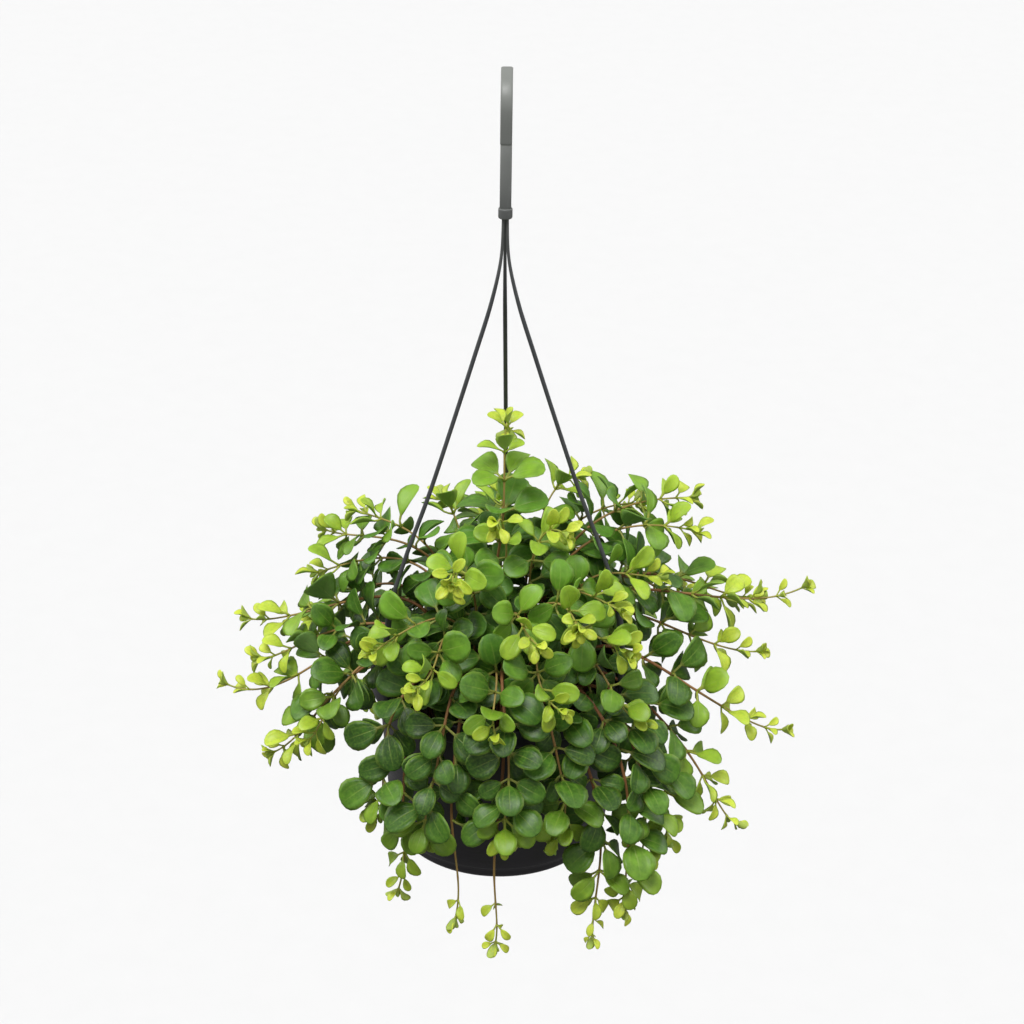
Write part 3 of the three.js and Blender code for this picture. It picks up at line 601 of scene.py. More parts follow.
# Moist peat: dark brown and matt, with paler fibres and grains.
peat, tree, shader = new_material("moist peat potting mix", 0.92, 1.4)
crumbs = noise(tree, 0.0022, detail=6)
fibres = noise(tree, 0.0012, detail=3, stretch_by=(1, 0.25, 1))
soil_colour = ramp(tree, crumbs, [(0.3, "#17100b"), (0.55, "#2f2117"), (0.75, "#4a3524")])
pale = stretch(tree, fibres, 0.66, 0.75, 0.0, 0.6)
tree.links.new(mix(tree, pale, soil_colour, linear("#7a5b3c")), shader.inputs["Base Color"])
tree.links.new(bump(tree, crumbs, 0.0008), shader.inputs["Normal"])

soil = make_piece("soil_crumbs", joined(soil_skin(), lump_skin()), [peat], "soil")
print("soil:", len(soil.data.polygons), "faces")

# %% [markdown]
# The hanger is one more polypropylene moulding, dark grey: a flat ribbon bent into a hook,
# a small collar and three thin strands, which thicken to straps over the rim and end in a lip
# under its band. A curve object with a bevel would give the strands quickly, but its section
# can't change from rod to strap, so each is a section swept along a spline.

# %% Hook
HOOK_WIDTH = 6.5
HOOK_THICK = 4
HOOK_INNER_RADIUS = 17
HOOK_TIP_Z = -33
COLLAR_TOP = -76
COLLAR_BOTTOM = -82
COLLAR_RADIUS = 4
SOCKET_DEPTH = 4
# The hook's paler top is a painted sheen: the key light from above, painted into the colour.
PAINTED_SHEEN_FROM = -150  # mm, where the paler stretch begins
X_AXIS = np.array([1.0, 0.0, 0.0])


def round_ends(line, half_widths, radius, steps=4):
    """A line and its half widths with both ends rounded: the last stretch follows a quarter
    circle, along the line by its sine and off the width by one minus its cosine."""
    quarter = np.radians(np.linspace(0, 90, steps + 1))[:, None]
    first, last = unit(line[0] - line[1]), unit(line[-1] - line[-2])
    ahead, less = radius * (np.sin(quarter) - 1), radius * (1 - np.cos(quarter))
    inner = (np.linalg.norm(line - line[0], axis=1) > 1.5 * radius) & (
        np.linalg.norm(line - line[-1], axis=1) > 1.5 * radius
    )
    whole = np.vstack([(line[0] + first * ahead)[::-1], line[inner], line[-1] + last * ahead])
    widths = np.vstack(
        [(half_widths[0] - less)[::-1], half_widths[inner], half_widths[-1] - less]
    )
    return whole, widths


def hook_line():
    """The ribbon's middle line in the plane of Y and Z: from the collar it bows back, turns
    over the top in a half circle and comes down in front to its tip."""
    middle = HOOK_INNER_RADIUS + HOOK_THICK / 2
    centre = -HOOK_INNER_RADIUS
    turn = np.radians(np.arange(0, 181, 18))
    points = [[0, COLLAR_TOP - 1], [1, COLLAR_TOP + 8], [middle * 0.32, centre - 36]]
    points.append([middle * 0.84, centre - 16])
    points.extend(np.stack([middle * np.cos(turn), centre + middle * np.sin(turn)], -1))
    points.append([-middle, HOOK_TIP_Z])
    line, length = spaced(spline([(0, y, z) for y, z in points]), 120)
    print("ribbon:", round(length), "mm long")
    return line


def collar_skin():
    """A round collar with soft edges, turned about Z."""
    ends = COLLAR_BOTTOM, COLLAR_TOP
    outline = [[0, ends[0]], *([COLLAR_RADIUS, z] for z in ends), [0, ends[1]]]
    return revolved(rounded(outline, 0.9, steps=5), 40)


# Dark grey polypropylene: satin, a little scuffed along its edges. Its colour turns paler from
# the collar up to the hook's top: a painted sheen of the key light from above.
hanger_plastic, tree, shader = new_material("moulded dark grey polypropylene", 0.36, 1.49)
cloud = noise(tree, 0.02)
scuff = noise(tree, 0.004, detail=5, stretch_by=(1, 1, 0.3))
shade = ramp(tree, cloud, [(0.3, "#3d3f41"), (0.7, "#47494b")])
worn = stretch(tree, scuff, 0.58, 0.75, 0.0, 0.25)
shade = mix(tree, worn, shade, linear("#717475"))
place = add_node(tree, "ShaderNodeTexCoord").outputs["Object"]
height = add_node(tree, "ShaderNodeSeparateXYZ", {0: place}).outputs["Z"]
# Painted sheen: the colour grows paler upwards to the hook's top, where the key light falls.
painted_sheen = stretch(tree, height, PAINTED_SHEEN_FROM * MM, 0.0, 0.0, 0.8)
shade = mix(tree, painted_sheen, shade, linear("#8d908b"))
tree.links.new(shade, shader.inputs["Base Color"])
tree.links.new(stretch(tree, scuff, 0.3, 0.7, 0.3, 0.46), shader.inputs["Roughness"])
tree.links.new(bump(tree, noise(tree, 0.0008, detail=4), 0.00003), shader.inputs["Normal"])

ribbon = np.broadcast_to([HOOK_WIDTH / 2, HOOK_THICK / 2], (121, 2))
rings = swept(*round_ends(hook_line(), ribbon, 1.0), box_section(0.4), X_AXIS)
skin = joined(closed_skin(rings), collar_skin())
hook = make_piece("hook_fine", skin, [hanger_plastic], "hook", 40)
print("hook:", len(hook.data.polygons), "faces")

# %% Strands
STRAND_HEADINGS = {"strand_back": 88, "strand_left": 214, "strand_right": 333}
STRAND_THIN = 0.8
STRAND_ROD = 1.25
STRAND_STRAP = 1.9
STRAND_START = 1.45
STRAND_CLIP = RIM_RADIUS + STRAND_STRAP + 0.3
STRAND_LINE = [
    [STRAND_START, COLLAR_BOTTOM + SOCKET_DEPTH - GAP - RIM_Z],
    [STRAND_START, COLLAR_BOTTOM - 3 - RIM_Z],
    [2.6, 262],
    [8.5, 238],
    [20.5, 205],
    [36, 164],
    [50.5, 127],
    [66, 92],
    [75.5, 66],
    [79.6, 42],
    [STRAND_CLIP, 16],
    [STRAND_CLIP, -8],
    [STRAND_CLIP - 0.4, -RIM_BAND - 2.6],
]


def strand_points(heading, count):
    """Points along a strand: radius and height over the rim, at its heading."""
    line = np.array(STRAND_LINE)
    return spaced(spline(polar(line[:, 0], heading, RIM_Z + line[:, 1])), count)[0]


def strand_radius(z):
    """Thin at the collar, a rod below it and a thicker strap near the rim."""
    over = z - RIM_Z
    thick = smooth((COLLAR_BOTTOM - RIM_Z - over) / 70)
    strap = smooth((74 - over) / 22)
    return STRAND_THIN + (STRAND_ROD - STRAND_THIN) * thick + (STRAND_STRAP - STRAND_ROD) * strap


def strand_skin(heading):
    """A round rod along the strand's line, and the short lip that holds under the band."""
    line = strand_points(heading, 130)
    across = polar(1, heading + 90, 0)
    radii = np.repeat(strand_radius(line[:, 2:]), 2, axis=1)
    whole = swept(*round_ends(line, radii, 0.7), round_section(14), across)
    reach = np.linspace(STRAND_CLIP, WALL_TOP_RADIUS + 1.2, 5)
    lip_line = polar(reach, heading, RIM_Z - RIM_BAND - 2.3)
    lip = swept(*round_ends(lip_line, np.full((5, 2), 1.6), 0.6), round_section(14), across)
    return joined(closed_skin(whole), closed_skin(lip))


for node, heading in STRAND_HEADINGS.items():
    make_piece(node + "_fine", strand_skin(heading), [hanger_plastic], node, 50)
print("strands:", len(STRAND_HEADINGS))

# %% [markdown]
# The plant grows by rule, so that every leaf has a reason for its place. A number drawn by
# hashing a few keys depends on nothing else, and the stems and leaves of the solids come out
# of the same draws. Each stem leaves the soil upright, passes over a shoulder and comes down
# to its tip, which turns up a little. It takes the first line that is clear of the rest.

# %% Stems
SEED = 20
STEP = 2
TIP_CURL = 8
REACH_CURL = 0.3
WAVE = 3.2
AIM_STEP, FOOT_SPREAD, SWAY = 4, 16, 6  # degrees
BEND_PLACE, BEND_SHIFT = 0.68, 0.37  # shares of the reach, where the last bend stands
STEMS_APART, ROOTS_APART, STEM_CLEAR = 3.1, 6.5, 1.8
ATTEMPTS = 26
BARE_STEM = 12
HIDDEN_STEM = 48
STEM_RADIUS = 1

# Heading, radius of the root, reach from the axis, height of the tip over the rim, height of
# the shoulder, height of the last bend over the tip, and how long the young stretch is.
OUTLINE_STEMS = [
    [8, 30, 184, 42, 92, -8, 2.1],
    [352, 44, 172, -29, 70, 20, 2.1],
    [1, 38, 155, 8, 78, 14, 1.7],
    [343, 52, 150, -81, 48, 50, 2.5],
    [17, 34, 163, 24, 84, 24, 1.4],
    [23, 24, 124, 89, 104, 8, 1.1],
    [12, 20, 117, 79, 100, 12, 1.0],
    [38, 26, 108, 75, 90, 14, 1.0],
    [330, 54, 118, -81, 40, 84, 1.2],
    [318, 56, 117, -89, 44, 100, 1.4],
    [187, 36, 164, -7, 80, 8, 1.9],
    [173, 32, 153, 18, 88, 12, 1.5],
    [180, 42, 143, 8, 66, 22, 1.3],
    [199, 46, 141, -37, 62, 34, 1.4],
    [209, 52, 126, -18, 52, 40, 1.2],
    [157, 26, 117, 65, 90, 12, 1.0],
    [145, 24, 98, 81, 88, 6, 1.1],
    [168, 22, 113, 48, 88, 22, 0.9],
    [269, 54, 102, -131, 46, 138, 2.6],
    [302, 56, 111, -130, 38, 140, 2.1],
    [310, 50, 119, -112, 52, 128, 1.3],
    [290, 54, 103, -64, 42, 94, 1.1],
    [236, 56, 103, -106, 38, 118, 2.0],
    [229, 50, 106, -56, 52, 88, 0.8],
    [248, 46, 105, -64, 56, 94, 0.8],
    [274, 44, 106, -56, 64, 98, 0.9],
    [256, 56, 101, -116, 42, 128, 2.0],
    [60, -12, 12, 152, 70, 26, 1.2],
    [42, 22, 68, 101, 84, 8, 1.0],
    [128, 26, 62, 86, 74, 8, 0.9],
]
BACK_STEMS = [
    [52, 54, 128, -32, 50, 66, 1.2],
    [70, 50, 112, -86, 52, 104, 1.3],
    [92, 54, 104, -116, 44, 124, 1.5],
    [112, 48, 116, -54, 60, 80, 1.1],
    [131, 54, 122, -84, 48, 92, 1.4],
    [35, 44, 140, 4, 66, 34, 1.2],
    [150, 46, 134, -10, 64, 44, 1.2],
    [100, 30, 108, 44, 84, 32, 1.0],
    [76, 34, 118, 18, 78, 44, 1.0],
]
MOUND_STEMS = [
    [226, 34, 100, 48, 84, 6, 0.9],
    [248, 26, 70, 90, 84, 4, 0.8],
    [284, 34, 92, 64, 84, 6, 1.0],
    [301, 30, 89, 68, 80, 6, 0.8],
    [315, 38, 100, 48, 78, 8, 0.9],
    [288, 44, 106, 29, 64, 14, 0.9],
    [266, 40, 107, 16, 64, 22, 0.8],
    [263, 12, 32, 112, 70, 4, 0.8],
    [318, 18, 47, 106, 74, 4, 0.8],
    [356, 34, 92, 65, 80, 8, 1.0],
    [246, 40, 104, 37, 70, 12, 0.9],
    [319, 46, 108, 4, 60, 30, 1.0],
    [318, 30, 88, 70, 84, 6, 0.9],
    [95, 26, 64, 84, 76, 8, 0.9],
]


def draw(*keys):
    """A number from 0 to 1 that depends only on its whole-number keys: each key is mixed
    into 32 bits by multiplying with two odd numbers and shifting."""
    h = SEED
    for key in keys:
        h = ((h ^ (key + 0x9E3779B9)) * 0x85EBCA6B) & 0xFFFFFFFF
        h ^= h >> 13
        h = (h * 0xC2B2AE35) & 0xFFFFFFFF
        h ^= h >> 16
    return h / 2**32


def spread(*keys):
    """A number from -1 to 1 from the same keys."""
    return 2 * draw(*keys) - 1


def stem_line(row, number, attempt):
    """A stem above the soil in steps of 2 mm: a cubic Bezier curve, with a slow sideways
    wave that grows along it and a tip that turns up with the sixth power of its share.
    Stems that reach far turn up more."""
    heading, root_radius, reach, tip, shoulder, bend = row[:6]
    aim = heading + AIM_STEP * attempt * spread(number, attempt, 1)
    foot = aim + FOOT_SPREAD * spread(number, attempt, 2)
    sway = SWAY * spread(number, attempt, 3)
    lean = BEND_PLACE + BEND_SHIFT * min(1, bend / 100)
    curl = TIP_CURL + REACH_CURL * max(0, reach - 100)
    root = polar(root_radius + attempt * spread(number, attempt, 4), foot, SOIL_TOP)
    pins = [
        root,
        np.array([root[0], root[1], RIM_Z + shoulder]),
        polar(reach * lean, aim - sway, RIM_Z + tip + bend),
        polar(reach, aim, RIM_Z + tip - curl),
    ]

    def bezier(t):
        t = t[:, None]
        u = 1 - t
        return u**3 * pins[0] + 3 * u * u * t * pins[1] + 3 * u * t * t * pins[2] + t**3 * pins[3]

    count = int(np.floor(spaced(bezier, 1)[1] / STEP + 0.5))
    line = spaced(bezier, count)[0]
    share = np.linspace(0, 1, count + 1)
    wave = WAVE * np.sin(9 * share + 6 * draw(number, 5)) * share
    line += wave[:, None] * polar(1, aim + 90, 0)
    line[:, 2] += curl * share**6
    return line


def hits_pot(points, margin):
    """True for each point where a ball round it would touch the pot or the soil."""
    depth = RIM_Z - points[..., 2]
    radius = np.hypot(points[..., 0], points[..., 1])
    level = (depth >= -margin) & (depth <= POT_HEIGHT + margin)
    outside = np.where(depth < RIM_BAND + margin, RIM_RADIUS, wall_radius(depth))
    within = radius <= outside + margin
    wall_or_soil = (radius > WALL_TOP_RADIUS - 3 - margin) | (depth > SOIL_DROP - margin)
    return level & within & wall_or_soil


def any_near(points, others, distance):
    """True if any of the points is nearer than a distance to any of the others."""
    if len(others) == 0:
        return False
    gap = points[:, None] - others[None]
    return bool(((gap * gap).sum(-1) < distance * distance).any())


def grow_stems(strands):
    """All stems, each turned a little until it is clear of the strands and of those before
    it: those of the outline, of the back and of the mound."""
    rows = OUTLINE_STEMS + BACK_STEMS + MOUND_STEMS
    taken, stems = list(strands), []
    for key, row in enumerate(rows):
        for attempt in range(ATTEMPTS):
            line = stem_line(row, key, attempt)
            roots = np.array([stem["line"][0] for stem in stems])
            if any_near(line[:1], roots, ROOTS_APART):
                continue
            if any_near(line, np.vstack(taken), STEMS_APART):
                continue
            if hits_pot(line[4:], STEM_CLEAR).any():
                continue
            taken.append(line)
            stems.append({"number": key, "line": line, "young": row[6]})
            break
    return stems


strands = [strand_points(heading, 140) for heading in STRAND_HEADINGS.values()]
stems = grow_stems(strands)
grown = sum(len(stem["line"]) for stem in stems) * STEP / 1000
print("stems:", len(stems), "total length:", round(grown, 1), "m")

# %% [markdown]
# Leaves stand in whorls of four, each whorl turned by an eighth against the one below. They
# turn their faces to the light, which comes from above, from the front and from outside.
# The solids hold enough leaves to draw the form. The rest of each whorl is added after them
# with the same tests, which keep a leaf's test points clear of the other leaves.

# %% Places of the leaves
LEAF_LENGTH = 20.5
LEAF_ASPECT = 0.9
LEAF_CUP = 0.09
LEAF_DROOP = 0.1
OBOVATE = 0.14
PETIOLE = 5.5
OUTWARD = 0.7
WINDOW = np.array([0, -0.28, 0.8])
COLOUR_LAG = 62  # mm of stem until a leaf is as dark as it gets
LEAF_APART = 1.75
EDGE_APART = 1.5
LEAF_CLEAR = 1.3
LINE_CLEAR, LINE_EDGE = 1.2, 0.4  # mm from a stem, off the blade's face and off its edge
SIZE_SPREAD, WIDTH_SPREAD, PETIOLE_SPREAD = 0.15, 0.08, 0.3
SHRINK = 0.011  # of the size, at each attempt
YOUNG_SIZE, LOOSE_LESS = 0.48, 0.14  # of the full length, and less in a trailing stem
RISE, RISE_SPREAD, YOUNG_RISE = 0.45, 0.3, 0.7  # how far a stalk leans along its stem
FAR_AWAY, OWN_NODE = 20, 8  # mm, beyond and within which points of stems aren't tested
BUSHY_SPACING, TRAILING_SPACING = (8.5, 17), (16, 20)  # mm, in the tip and where full grown
SPACING_GROWTH = 36
WHORL = 4
PAIR_EVERY = 8
RIPENING = 44
TURN_SPREAD, ROLL_SPREAD, PITCH_SPREAD = 14, 24, 22
EVEN_ORDERS = [[0, 1, 2, 3], [0, 3, 2, 1]]
ODD_ORDERS = [[0, 3, 1, 2], [3, 0, 2, 1]]
SHOWING = [(200, 234, -78, -2, 103), (246, 290, -112, -62, 112)]
SHOWING_FINE = [(200, 234, -78, -2, 103), (246, 290, -94, -62, 112)]
STALK_SHARES = np.array([0.22, 0.45, 0.72, 1])


def looseness(stem):
    """0 for a short bushy stem and 1 for a long trailing one."""
    return float(smooth((stem["young"] - 0.9) / 0.9))


def whorls_of(stem):
    """Distances of the whorls back from the tip: close together in a bushy stem's tip, and
    wide apart all along a trailing one."""
    length = (len(stem["line"]) - 1) * STEP
    loose = looseness(stem)
    places, back = [], 0
    while back < length - BARE_STEM:
        places.append(back)
        grown = min(1, back / SPACING_GROWTH)
        bushy, trailing = (a + (b - a) * grown for a, b in (BUSHY_SPACING, TRAILING_SPACING))
        back += bushy * (1 - loose) + trailing * loose
    return places


def ripeness(stem, back):
    """0 at the very tip and 1 where the leaves are full grown."""
    return float(smooth((back + 2) / (RIPENING * stem["young"])))


def frame_at(stem, back):
    """The stem's middle at a distance from its tip, its direction of growth, the light's
    direction, and two directions round the stem, of which the first faces the light."""
    line = stem["line"]
    at = len(line) - 1 - back / STEP
    low = int(np.floor(at))
    node = line[low].copy()
    if low + 1 < len(line):
        node += (line[low + 1] - line[low]) * (at - low)
    along = unit(line[min(len(line) - 1, low + 2)] - line[max(0, low - 2)])
    outward = np.array([node[0], node[1], 0.0])
    outward *= OUTWARD / max(60, np.linalg.norm(outward))
    light = unit(outward + WINDOW)
    first = unit(light - along * (light @ along))
    return node, along, light, first, np.cross(along, first)


def turned(v, axis, degrees):
    """A vector turned about a unit axis, by Rodrigues' formula."""
    a = np.radians(degrees)
    return v * np.cos(a) + np.cross(axis, v) * np.sin(a) + axis * (axis @ v) * (1 - np.cos(a))


def place_leaf(stem, place, whorl, back, quarter, attempt):
    """A leaf's place: the foot of its blade and the blade's own axes, along, across and out
    of its upper face, with its length and width."""
    node, along, light, first, second = place
    key = (stem["number"], whorl, quarter, attempt)
    start = 45 if whorl % 2 else 0
    turn = np.radians(start + 360 / WHORL * quarter + (TURN_SPREAD + attempt) * spread(*key, 1))
    side = first * np.cos(turn) + second * np.sin(turn)
    ripe = ripeness(stem, back)
    small = YOUNG_SIZE - LOOSE_LESS * looseness(stem)
    grown = LEAF_LENGTH * (small + (1 - small) * ripe)
    size = grown * (1 + SIZE_SPREAD * spread(*key, 2)) * (1 - SHRINK * attempt)
    rise = RISE + RISE_SPREAD * spread(*key, 3) + YOUNG_RISE * (1 - ripe)
    stalk = unit(side + along * rise)
    reach = 1 + PETIOLE * size / LEAF_LENGTH * (1 + PETIOLE_SPREAD * spread(*key, 4))
    blade = unit(1.25 * stalk - 0.75 * ripe * (light @ stalk) * light)
    face = unit(light - blade * (light @ blade))
    across = turned(np.cross(face, blade), blade, (ROLL_SPREAD + attempt) * spread(*key, 5))
    blade = turned(blade, across, (PITCH_SPREAD + attempt) * spread(*key, 6))
    leaf = {"node": node, "foot": node + stalk * reach, "blade": blade, "across": across}
    leaf["face"] = np.cross(blade, across)
    leaf["length"] = size
    leaf["width"] = size * LEAF_ASPECT * (0.7 + 0.3 * ripe) * (1 + WIDTH_SPREAD * spread(*key, 7))
    return leaf


def lift(length, along, across):
    """How far the middle surface stands over its plane: the sides rise with the square of
    their distance, and the tip turns down."""
    return length * (LEAF_CUP * across**2 - LEAF_DROOP * (along + 0.2) ** 2 + 0.064)


def samples_of(leaf):
    """Test points of a leaf: 22 on its edge, 6 inside and 4 on its stalk."""
    edge = 2 * np.pi * (np.arange(22) + 0.5) / 22
    inner = 2 * np.pi * (np.arange(6) + 0.5) / 6
    turn = np.concatenate([edge, inner])
    share = np.concatenate([np.ones(22), np.full(6, 0.5)])
    along = -np.cos(turn) * share
    across = np.sin(turn) * share * (1 + OBOVATE * along)
    blade = (
        leaf["foot"]
        + leaf["blade"] * ((1 + along) * leaf["length"] / 2)[:, None]
        + leaf["across"] * (across * leaf["width"] / 2)[:, None]
        + leaf["face"] * lift(leaf["length"], along, across)[:, None]
    )
    stalk = leaf["node"] + STALK_SHARES[:, None] * (leaf["foot"] - leaf["node"])
    return np.vstack([blade, stalk])


def near_blade(points, leaf, distance, margin):
    """True for each point that comes within a distance of a blade whose edge is widened by
    a margin. Points and leaf fields may be stacks that match each other."""
    start = points - leaf["foot"]
    along = (start * leaf["blade"]).sum(-1) / (leaf["length"] / 2) - 1
    across = (start * leaf["across"]).sum(-1) / (leaf["width"] / 2)
    height = (start * leaf["face"]).sum(-1) - lift(leaf["length"], along, across)
    edge = 1 + margin / (leaf["width"] / 2)
    return (along**2 + across**2 < edge**2) & (np.abs(height) < distance)


class Grove:
    """The leaves placed so far, as stacked arrays, and the lines that they keep clear of."""

    FIELDS = ("foot", "blade", "across", "face", "length", "width")

    def __init__(self, stems, strands, room=2400):
        lines = [stem["line"] for stem in stems] + strands
        owners = [stem["number"] for stem in stems] + [-1] * len(strands)
        radii = [STEM_RADIUS] * len(stems) + [STRAND_STRAP] * len(strands)
        sizes = [len(line) for line in lines]
        self.points = np.vstack(lines)
        self.owner = np.repeat(owners, sizes)
        self.radius = np.repeat(radii, sizes)
        self.count = 0
        self.stack = {name: np.zeros((room, 1, 3)) for name in self.FIELDS[:4]}
        self.stack.update({name: np.zeros((room, 1)) for name in self.FIELDS[4:]})
        self.samples = np.zeros((room, 32, 3))

    def blocked_by_lines(self, leaf, samples, number):
        """True if a stem or strand meets the blade, or another's meets the stalk."""
        centre = leaf["foot"] + leaf["blade"] * leaf["length"] / 2
        centre = centre + leaf["face"] * lift(leaf["length"], 0, 0)
        near = ((self.points - centre) ** 2).sum(1) <= FAR_AWAY**2
        own = self.owner == number
        near &= ~(own & (((self.points - leaf["node"]) ** 2).sum(1) < OWN_NODE**2))
        points, radius = self.points[near], self.radius[near]
        if near_blade(points, leaf, radius + LINE_CLEAR, radius + LINE_EDGE).any():
            return True
        others = ~own[near]
        gap = points[others][:, None] - samples[None, -4:]
        return bool(((gap**2).sum(-1) < (radius[others, None] + LEAF_CLEAR) ** 2).any())

    def blocked_by_leaves(self, leaf, samples):
        """True if a test point of one leaf comes too near the blade of another."""
        n = self.count
        gap = ((self.stack["foot"][:n, 0] - leaf["foot"]) ** 2).sum(1)
        apart = (self.stack["length"][:n, 0] + leaf["length"]) / 2 + 9
        near = np.nonzero(gap <= apart**2 * 2)[0]
        others = {name: self.stack[name][near] for name in self.FIELDS}
        if near_blade(samples[None], others, LEAF_APART, EDGE_APART).any():
            return True
        return bool(near_blade(self.samples[near], leaf, LEAF_APART, EDGE_APART).any())

    def grow(self, stem, whorl, back, quarter):
        """The first way to place this leaf that is clear of everything, or None."""
        place = frame_at(stem, back)
        for attempt in range(ATTEMPTS):
            leaf = place_leaf(stem, place, whorl, back, quarter, attempt)
            samples = samples_of(leaf)
            if hits_pot(samples, LEAF_CLEAR).any():
                continue
            if self.blocked_by_lines(leaf, samples, stem["number"]):
                continue
            if self.blocked_by_leaves(leaf, samples):
                continue
            for name in self.FIELDS:
                self.stack[name][self.count, 0] = leaf[name]
            self.samples[self.count] = samples
            self.count += 1
            leaf.update(stem=stem["number"], key=(stem["number"], whorl, quarter))
            leaf["age"] = float(smooth((back + 2) / (COLOUR_LAG * stem["young"])))
            return leaf
        return None


def shows_pot(stem, back, gaps):
    """True where a whorl would hide the pot's wall, which shows in two gaps of the leaves. Each
    gap is two headings, two heights against the rim and a largest radius."""
    x, y, z = frame_at(stem, back)[0]
    heading = np.degrees(np.arctan2(y, x)) % 360
    return any(
        a < heading < b and low < z - RIM_Z < high and np.hypot(x, y) < reach
        for a, b, low, high, reach in gaps
    )


def solid_size(stem, whorl, back):
    """How many leaves of a whorl the solids hold."""
    if back > len(stem["line"]) * STEP - HIDDEN_STEM:
        return 0
    return 2 if whorl % PAIR_EVERY == 2 else 1


def grow_leaves(grove, stems, first_pass):
    """The leaves of the solids in the first pass, and the rest of each whorl in the next."""
    leaves = []
    for stem in stems:
        for whorl, back in enumerate(whorls_of(stem)):
            if shows_pot(stem, back, SHOWING if first_pass else SHOWING_FINE):
                continue
            order = (ODD_ORDERS if whorl % 2 else EVEN_ORDERS)[whorl // 2 % 2]
            size = solid_size(stem, whorl, back)
            for quarter in order[:size] if first_pass else order[size:]:
                leaf = grove.grow(stem, whorl, back, quarter)
                if leaf is not None:
                    leaves.append(leaf)
    return leaves


grove = Grove(stems, strands)
leaves = grow_leaves(grove, stems, first_pass=True)
print("leaves in the solids:", len(leaves))
leaves += grow_leaves(grove, stems, first_pass=False)
print("leaves in all:", len(leaves))

# %% [markdown]
# A leaf is thick and juicy, shaped like a shallow spoon: its stalk widens into the blade, the
# rim stands up a little and the middle is creased along the midrib. Every leaf is one closed
# skin of ten rings of eight points, and all leaves are computed at once as arrays. The size
# comes from each leaf's own place, and small random changes keep any two from being alike.

# %% Leaf skins
LEAF_THICK = 1.4
VISUAL_WIDTH = 0.94  # of the plain solid's width
OBOVATE_SPREAD, CUP_SPREAD = 0.1, 0.04
FOLD, FOLD_SPREAD, YOUNG_FOLD = 0.06, 0.03, 0.1  # shares of the length
TWIST, SIDE_BEND = 0.02, 0.03
RINGS = 8
SECTION = np.array([-1, -0.66, 0, 0.66, 1, 0.66, 0, -0.66])
SIDE = np.array([0, 1, 1, 1, 0, -1, -1, -1])
STALK_RADII = (0.95, 0.68, 0.8)
# These set painted light and shade in the leaves' green: full painted shade from 20 mm under the
# rim down, and painted light that grows upwards, outwards and under the pot, where the leaves are
# also kept pale.
SHADE_DEPTH, SUN_SPAN = 20, 130  # mm under the rim where the shade is full, and up from there
SHADE_RADIUS, SHADE_SPAN = 106, 34  # mm from the axis, and out from there
UNDER_POT, UNDER_SPAN = 88, 26  # mm under the rim, and down from there
PALE_OUTSIDE = 0.65
BY_LOT, BY_PAINTED_LIGHT = 0.4, 0.6  # shares of a leaf's tone
BUD_FOOT, BUD_ASPECT, BUD_SPREAD = 1.2, 0.7, 0.2
BUD_LENGTH, BUD_STEP = 8.5, 2.8  # mm, the spreading ones and how much shorter the others are


def columns_of(leaves, name):
    """One field of all leaves as an array of leaves, 1, 1 and 3, or leaves, 1 and 1."""
    values = np.array([leaf[name] for leaf in leaves], float)
    return values[:, None, None] if values.ndim == 2 else values[:, None, None, None]


def leaf_rings(leaves):
    """Points of all leaves as an array of leaves, rings, 8 and 3: three rings of the stalk,
    of which the last is the foot of the blade, then the blade's rings, then its tip, which
    is one point eight times. Also each point's share across and along the blade."""
    names = "node", "foot", "blade", "across", "face"
    node, foot, blade, wide, face = (columns_of(leaves, name) for name in names)
    length, width = (columns_of(leaves, name)[..., 0] for name in ("length", "width"))
    own = np.array([[spread(*leaf["key"], k) for k in range(11, 19)] for leaf in leaves])
    own = own[:, None, None]
    theta = np.pi * np.arange(RINGS + 1) / RINGS
    share = ((1 - np.cos(theta)) / 2)[None, :, None]
    u = SECTION[None, None]
    v = SIDE * np.sqrt(1 - SECTION**2)
    base = 1 - 0.5 * np.exp(-share / 0.16)
    obovate = OBOVATE + OBOVATE_SPREAD * own[..., 0]
    half = np.sin(theta)[None, :, None] * (1 + obovate * (2 * share - 1)) * base
    scale = np.sqrt(length / LEAF_LENGTH)
    ripe = np.clip(2 * columns_of(leaves, "age")[..., 0], 0, 1)
    stalk = STALK_RADII[-1] * scale
    half_width = np.maximum(VISUAL_WIDTH * width / 2 * half, stalk * (share < 0.5))
    half_width[:, -1] = 0
    thick = np.minimum(LEAF_THICK / 2 * scale * np.minimum(1, 12 * (1 - share)), stalk)
    across = u * half_width / (width / 2)
    cup = LEAF_CUP + CUP_SPREAD * own[..., 1]
    fold = FOLD + FOLD_SPREAD * own[..., 2] + YOUNG_FOLD * (1 - ripe)
    height = length * (cup * across**2 - LEAF_DROOP * (2 * share - 0.8) ** 2 + 0.064)
    height = height + length * fold * (np.abs(across) - 0.4) * np.sin(np.pi * share)
    height = height + length * TWIST * own[..., 3] * across * np.sin(5 * share + 3 * own[..., 4])
    start = length * (0.064 - 0.64 * LEAF_DROOP)
    height = height - start * np.exp(-share / 0.05) + thick * v
    bend = length * SIDE_BEND * own[..., 5] * share**2
    points = foot + blade * (share * length)[..., None] + face * height[..., None]
    points = points + wide * (u * half_width + bend)[..., None]
    stem_rings = stalk_rings(node, foot, blade, wide, scale, v)
    rings = np.concatenate([stem_rings, points], axis=1)
    along = np.concatenate([[-0.4, -0.2], share.ravel()])
    return rings, np.broadcast_to(along[None, :, None], rings.shape[:3])


